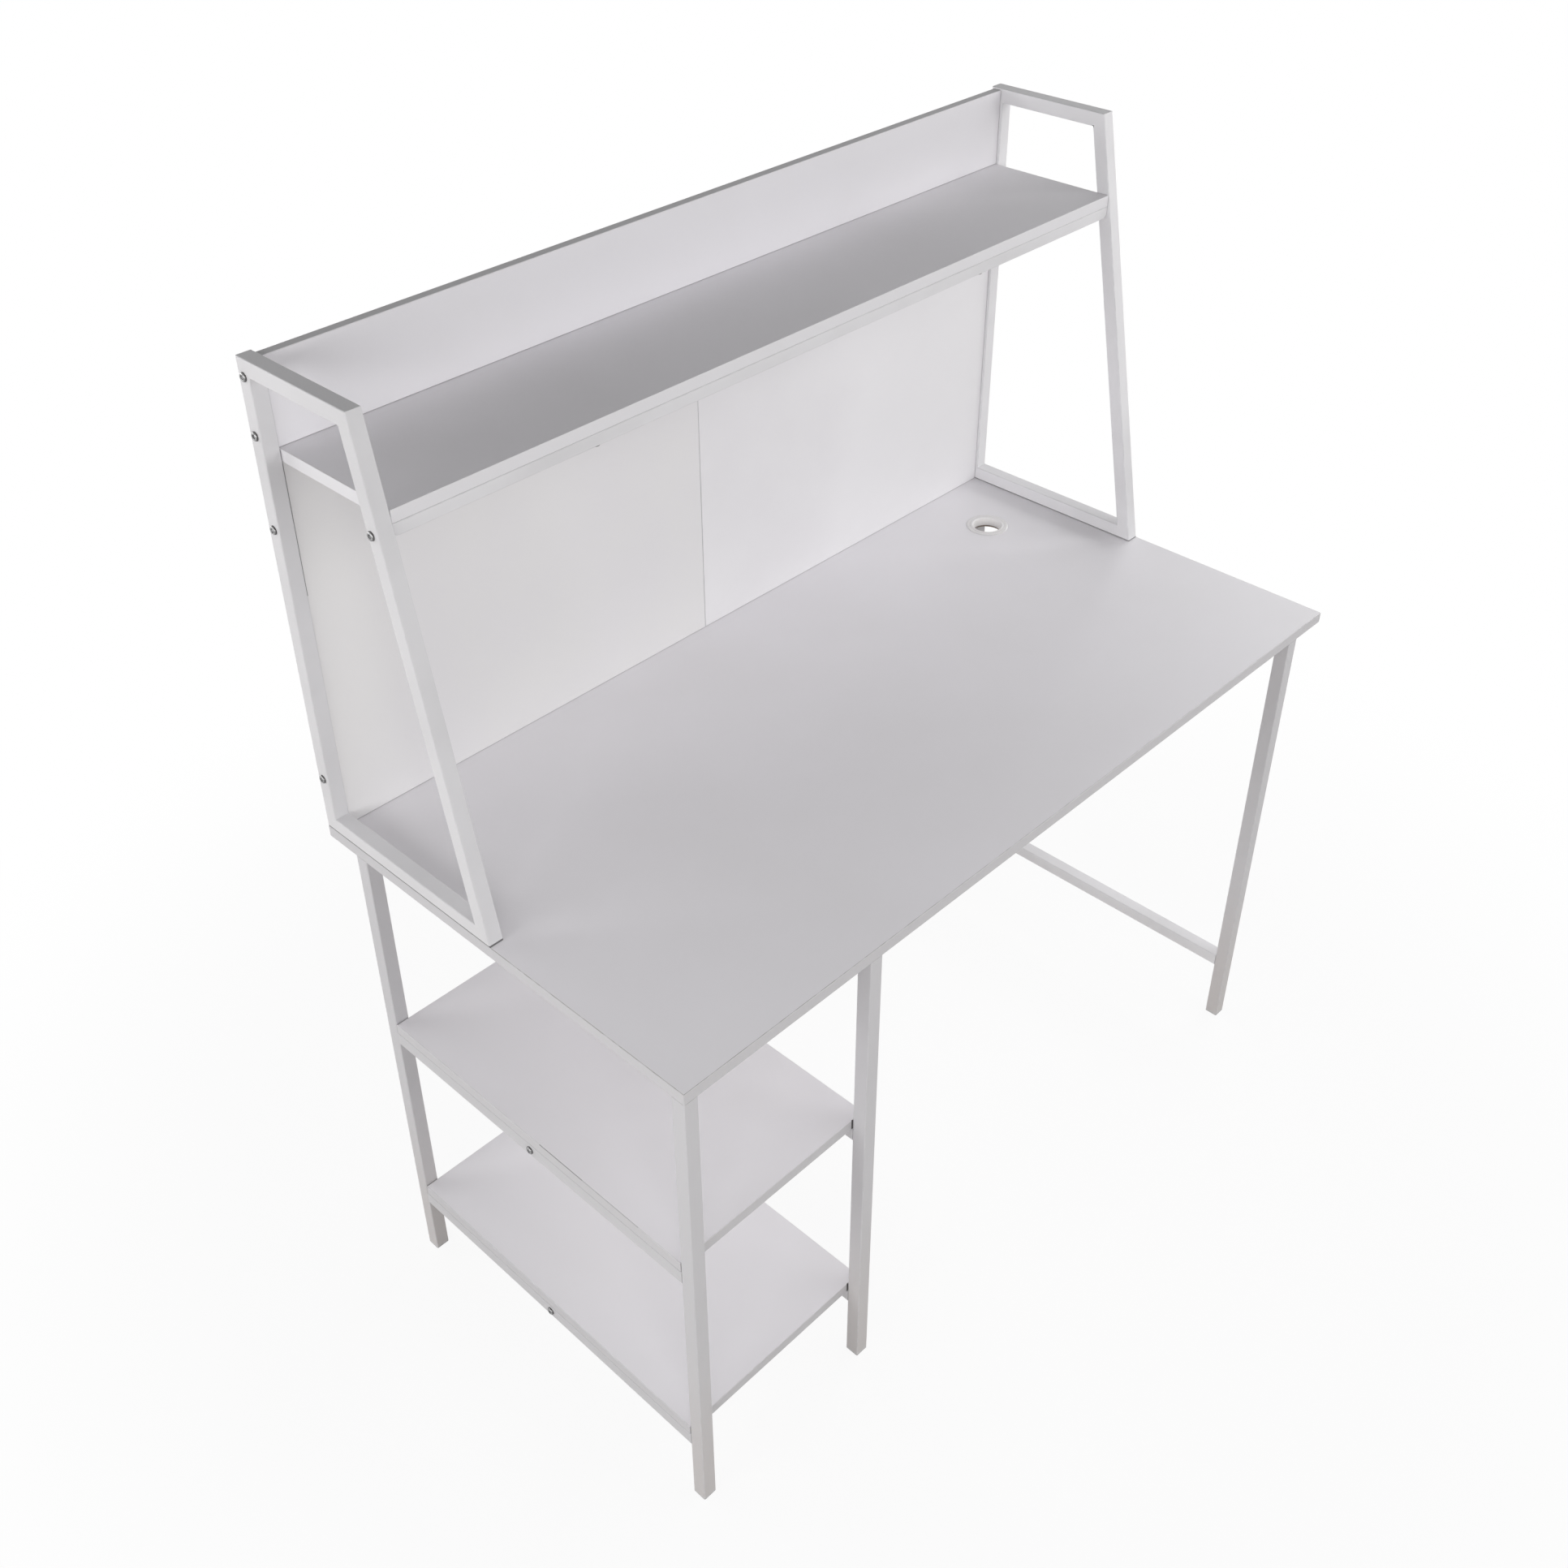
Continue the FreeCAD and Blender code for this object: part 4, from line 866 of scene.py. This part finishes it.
tab_screw = pattern_of("tab_screw", screw_rows(TAB_SCREW), SCREW_STEPS)
tab_seats = []
for side in FRAMES:
    for row in ROWS:
        tab_low, tab_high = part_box(f"leg_tab_{side}_{row}")
        for inset in TAB_INSETS:
            x = tab_low.x + inset if side == "middle" else tab_high.x - inset
            tab_seats.append(("+z", (x, (tab_low.y + tab_high.y) / 2, tab_low.z)))
set_fasteners("leg_tab_screws", tab_screw, tab_seats)
shelf_screw = pattern_of("shelf_screw", screw_rows(SHELF_SCREW), SCREW_STEPS)
shelf_seats = []
for level in LEVELS:
    bar_low, bar_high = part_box(f"shelf_stretcher_{level}")
    for x in (bar_low.x + SHELF_SCREW_INSET, bar_high.x - SHELF_SCREW_INSET):
        shelf_seats.append(("+z", (x, (bar_low.y + bar_high.y) / 2, bar_low.z)))
set_fasteners("shelf_screws", shelf_screw, shelf_seats)
bpy.data.objects.remove(tab_screw)
bpy.data.objects.remove(shelf_screw)


# Inner fittings
# Threaded plugs, inserts and nuts of plated steel and plain beech dowels. They
# sit inside tubes and boards and show only when the desk is taken apart.
BEECH = (0.62, 0.43, 0.26, 1.0)
BEECH_GRAIN = (0.45, 0.29, 0.16, 1.0)
BEECH_FLECKS = (320.0, 5.0, 0.45, 0.7, 0.0, 0.9)
BEECH_FIBRES = (900.0, 3.0)
BEECH_ROUGHNESS = (0.55, 0.70)
BEECH_RELIEF = (0.2, 0.0003)


def beech():
    """Bare turned beech with short dark flecks."""
    material, tree, shader, place = new_finish("bare beech")
    flecks = mottle(tree, place, *BEECH_FLECKS)
    tree.links.new(tint(tree, flecks, BEECH, BEECH_GRAIN), shader.inputs["Base Color"])
    fine_grain(tree, shader, place, BEECH_FIBRES, BEECH_ROUGHNESS, BEECH_RELIEF)
    return material


for name in ("stretcher_plugs", "panel_inserts", "hutch_mount_nuts"):
    dress(name, PLATE)
bare_beech = beech()
for name in ("seam_dowels", "shelf_dowels"):
    dress(name, bare_beech)


# Studio
# Plain white floor that fades into the white surround, soft lamps on all sides,
# most of them above the hutch, and the camera at the front left.
FLOOR_HALF = 10.0
FLOOR_WHITE = (0.80, 0.80, 0.80, 1.0)
FLOOR_BOUNCE = (0.66, 0.64, 0.62, 1.0)
FLOOR_GLOW = 0.9
GLOW_REACH = (0.8, 1.6)
WHITE = (1.0, 1.0, 1.0, 1.0)
AMBIENT = 0.10
LOOK_AT = Vector((0.0, 0.0, 0.85))
LAMPS = (
    ("lamp left", (-2.6, 0.05, 1.50), (1.8, 0.9), 11.0),
    ("lamp far left", (-5.0, -0.4, 2.00), (3.0, 1.5), 43.0),
    ("lamp front left", (-2.4, -2.2, 1.60), (2.0, 1.0), 31.0),
    ("lamp front", (0.0, -3.0, 1.40), (2.0, 1.0), 15.0),
    ("lamp front right", (1.4, -1.8, 2.20), (2.0, 1.0), 21.0),
    ("lamp right", (2.2, 0.0, 1.40), (1.6, 0.8), 17.0),
    ("lamp far right", (4.5, -0.6, 2.20), (3.0, 1.5), 26.0),
    ("lamp back", (0.3, 3.0, 0.95), (2.0, 0.6), 24.0),
    ("lamp back left", (-1.8, 2.4, 1.60), (2.0, 1.0), 25.0),
)
FILM_WIDTH = 36.0
LENS = 40.436
LENS_SHIFT = (0.02212, -0.04074)
VIEWER_PLACE = (-1.37662, -1.18044, 2.01506)
VIEWER_TURN = (54.0391, 0.8150, -45.4378)


def seen_directly(tree):
    """1 for rays from the camera, gloss and glass, 0 for light on the object."""
    rays = tree.nodes.new("ShaderNodeLightPath")
    seen = calc(tree, "MAXIMUM", rays.outputs["Is Camera Ray"], rays.outputs["Is Glossy Ray"])
    return calc(tree, "MAXIMUM", seen, rays.outputs["Is Transmission Ray"])


def floor_paper():
    """White floor that keeps a soft shadow near the object and is see-through from below."""
    paper = bpy.data.materials.new("white floor paper")
    paper.use_nodes = True
    tree = paper.node_tree
    tree.nodes.remove(tree.nodes["Principled BSDF"])
    matt = tree.nodes.new("ShaderNodeBsdfDiffuse")
    seen = seen_directly(tree)
    tree.links.new(tint(tree, seen, FLOOR_BOUNCE, FLOOR_WHITE), matt.inputs["Color"])
    glow = put(tree, "ShaderNodeEmission", Color=WHITE, Strength=1.0)
    reach = tree.nodes.new("ShaderNodeVectorMath")
    reach.operation = "LENGTH"
    tree.links.new(tree.nodes.new("ShaderNodeTexCoord").outputs["Object"], reach.inputs[0])
    glowing = fade(tree, reach.outputs["Value"], *GLOW_REACH, FLOOR_GLOW, 1.0)
    lit = tree.nodes.new("ShaderNodeMixShader")
    tree.links.new(calc(tree, "MULTIPLY", glowing, seen), lit.inputs["Fac"])
    tree.links.new(matt.outputs[0], lit.inputs[1])
    tree.links.new(glow.outputs[0], lit.inputs[2])
    one_way = tree.nodes.new("ShaderNodeMixShader")
    tree.links.new(tree.nodes.new("ShaderNodeNewGeometry").outputs["Backfacing"], one_way.inputs["Fac"])
    tree.links.new(lit.outputs[0], one_way.inputs[1])
    tree.links.new(tree.nodes.new("ShaderNodeBsdfTransparent").outputs[0], one_way.inputs[2])
    tree.links.new(one_way.outputs[0], tree.nodes["Material Output"].inputs["Surface"])
    return paper


world = bpy.data.worlds.new("white surround")
world.use_nodes = True
bpy.context.scene.world = world
sky = world.node_tree
backing = sky.nodes["Background"]
backing.inputs["Color"].default_value = WHITE
sky.links.new(fade(sky, seen_directly(sky), 0.0, 1.0, AMBIENT, 1.0), backing.inputs["Strength"])

floor_corners = [(x * FLOOR_HALF, y * FLOOR_HALF, 0.0) for x, y in ((-1, -1), (1, -1), (1, 1), (-1, 1))]
floor_mesh = bpy.data.meshes.new("floor")
floor_mesh.from_pydata(floor_corners, [], [(0, 1, 2, 3)])
floor_mesh.materials.append(floor_paper())
floor = bpy.data.objects.new("floor", floor_mesh)
bpy.context.scene.collection.objects.link(floor)

for name, place, extent, power in LAMPS:
    lamp = bpy.data.lights.new(name, "AREA")
    lamp.shape = "RECTANGLE"
    lamp.size, lamp.size_y = extent
    lamp.energy = power
    holder = bpy.data.objects.new(name, lamp)
    holder.location = place
    holder.rotation_euler = (LOOK_AT - Vector(place)).to_track_quat("-Z", "Y").to_euler()
    holder.visible_camera = False
    bpy.context.scene.collection.objects.link(holder)

camera = bpy.data.cameras.new("camera")
camera.sensor_width = FILM_WIDTH
camera.lens = LENS
camera.shift_x, camera.shift_y = LENS_SHIFT
viewer = bpy.data.objects.new("camera", camera)
viewer.location = VIEWER_PLACE
viewer.rotation_euler = [math.radians(angle) for angle in VIEWER_TURN]
bpy.context.scene.collection.objects.link(viewer)
bpy.context.scene.camera = viewer
bpy.context.scene.view_settings.view_transform = "Standard"
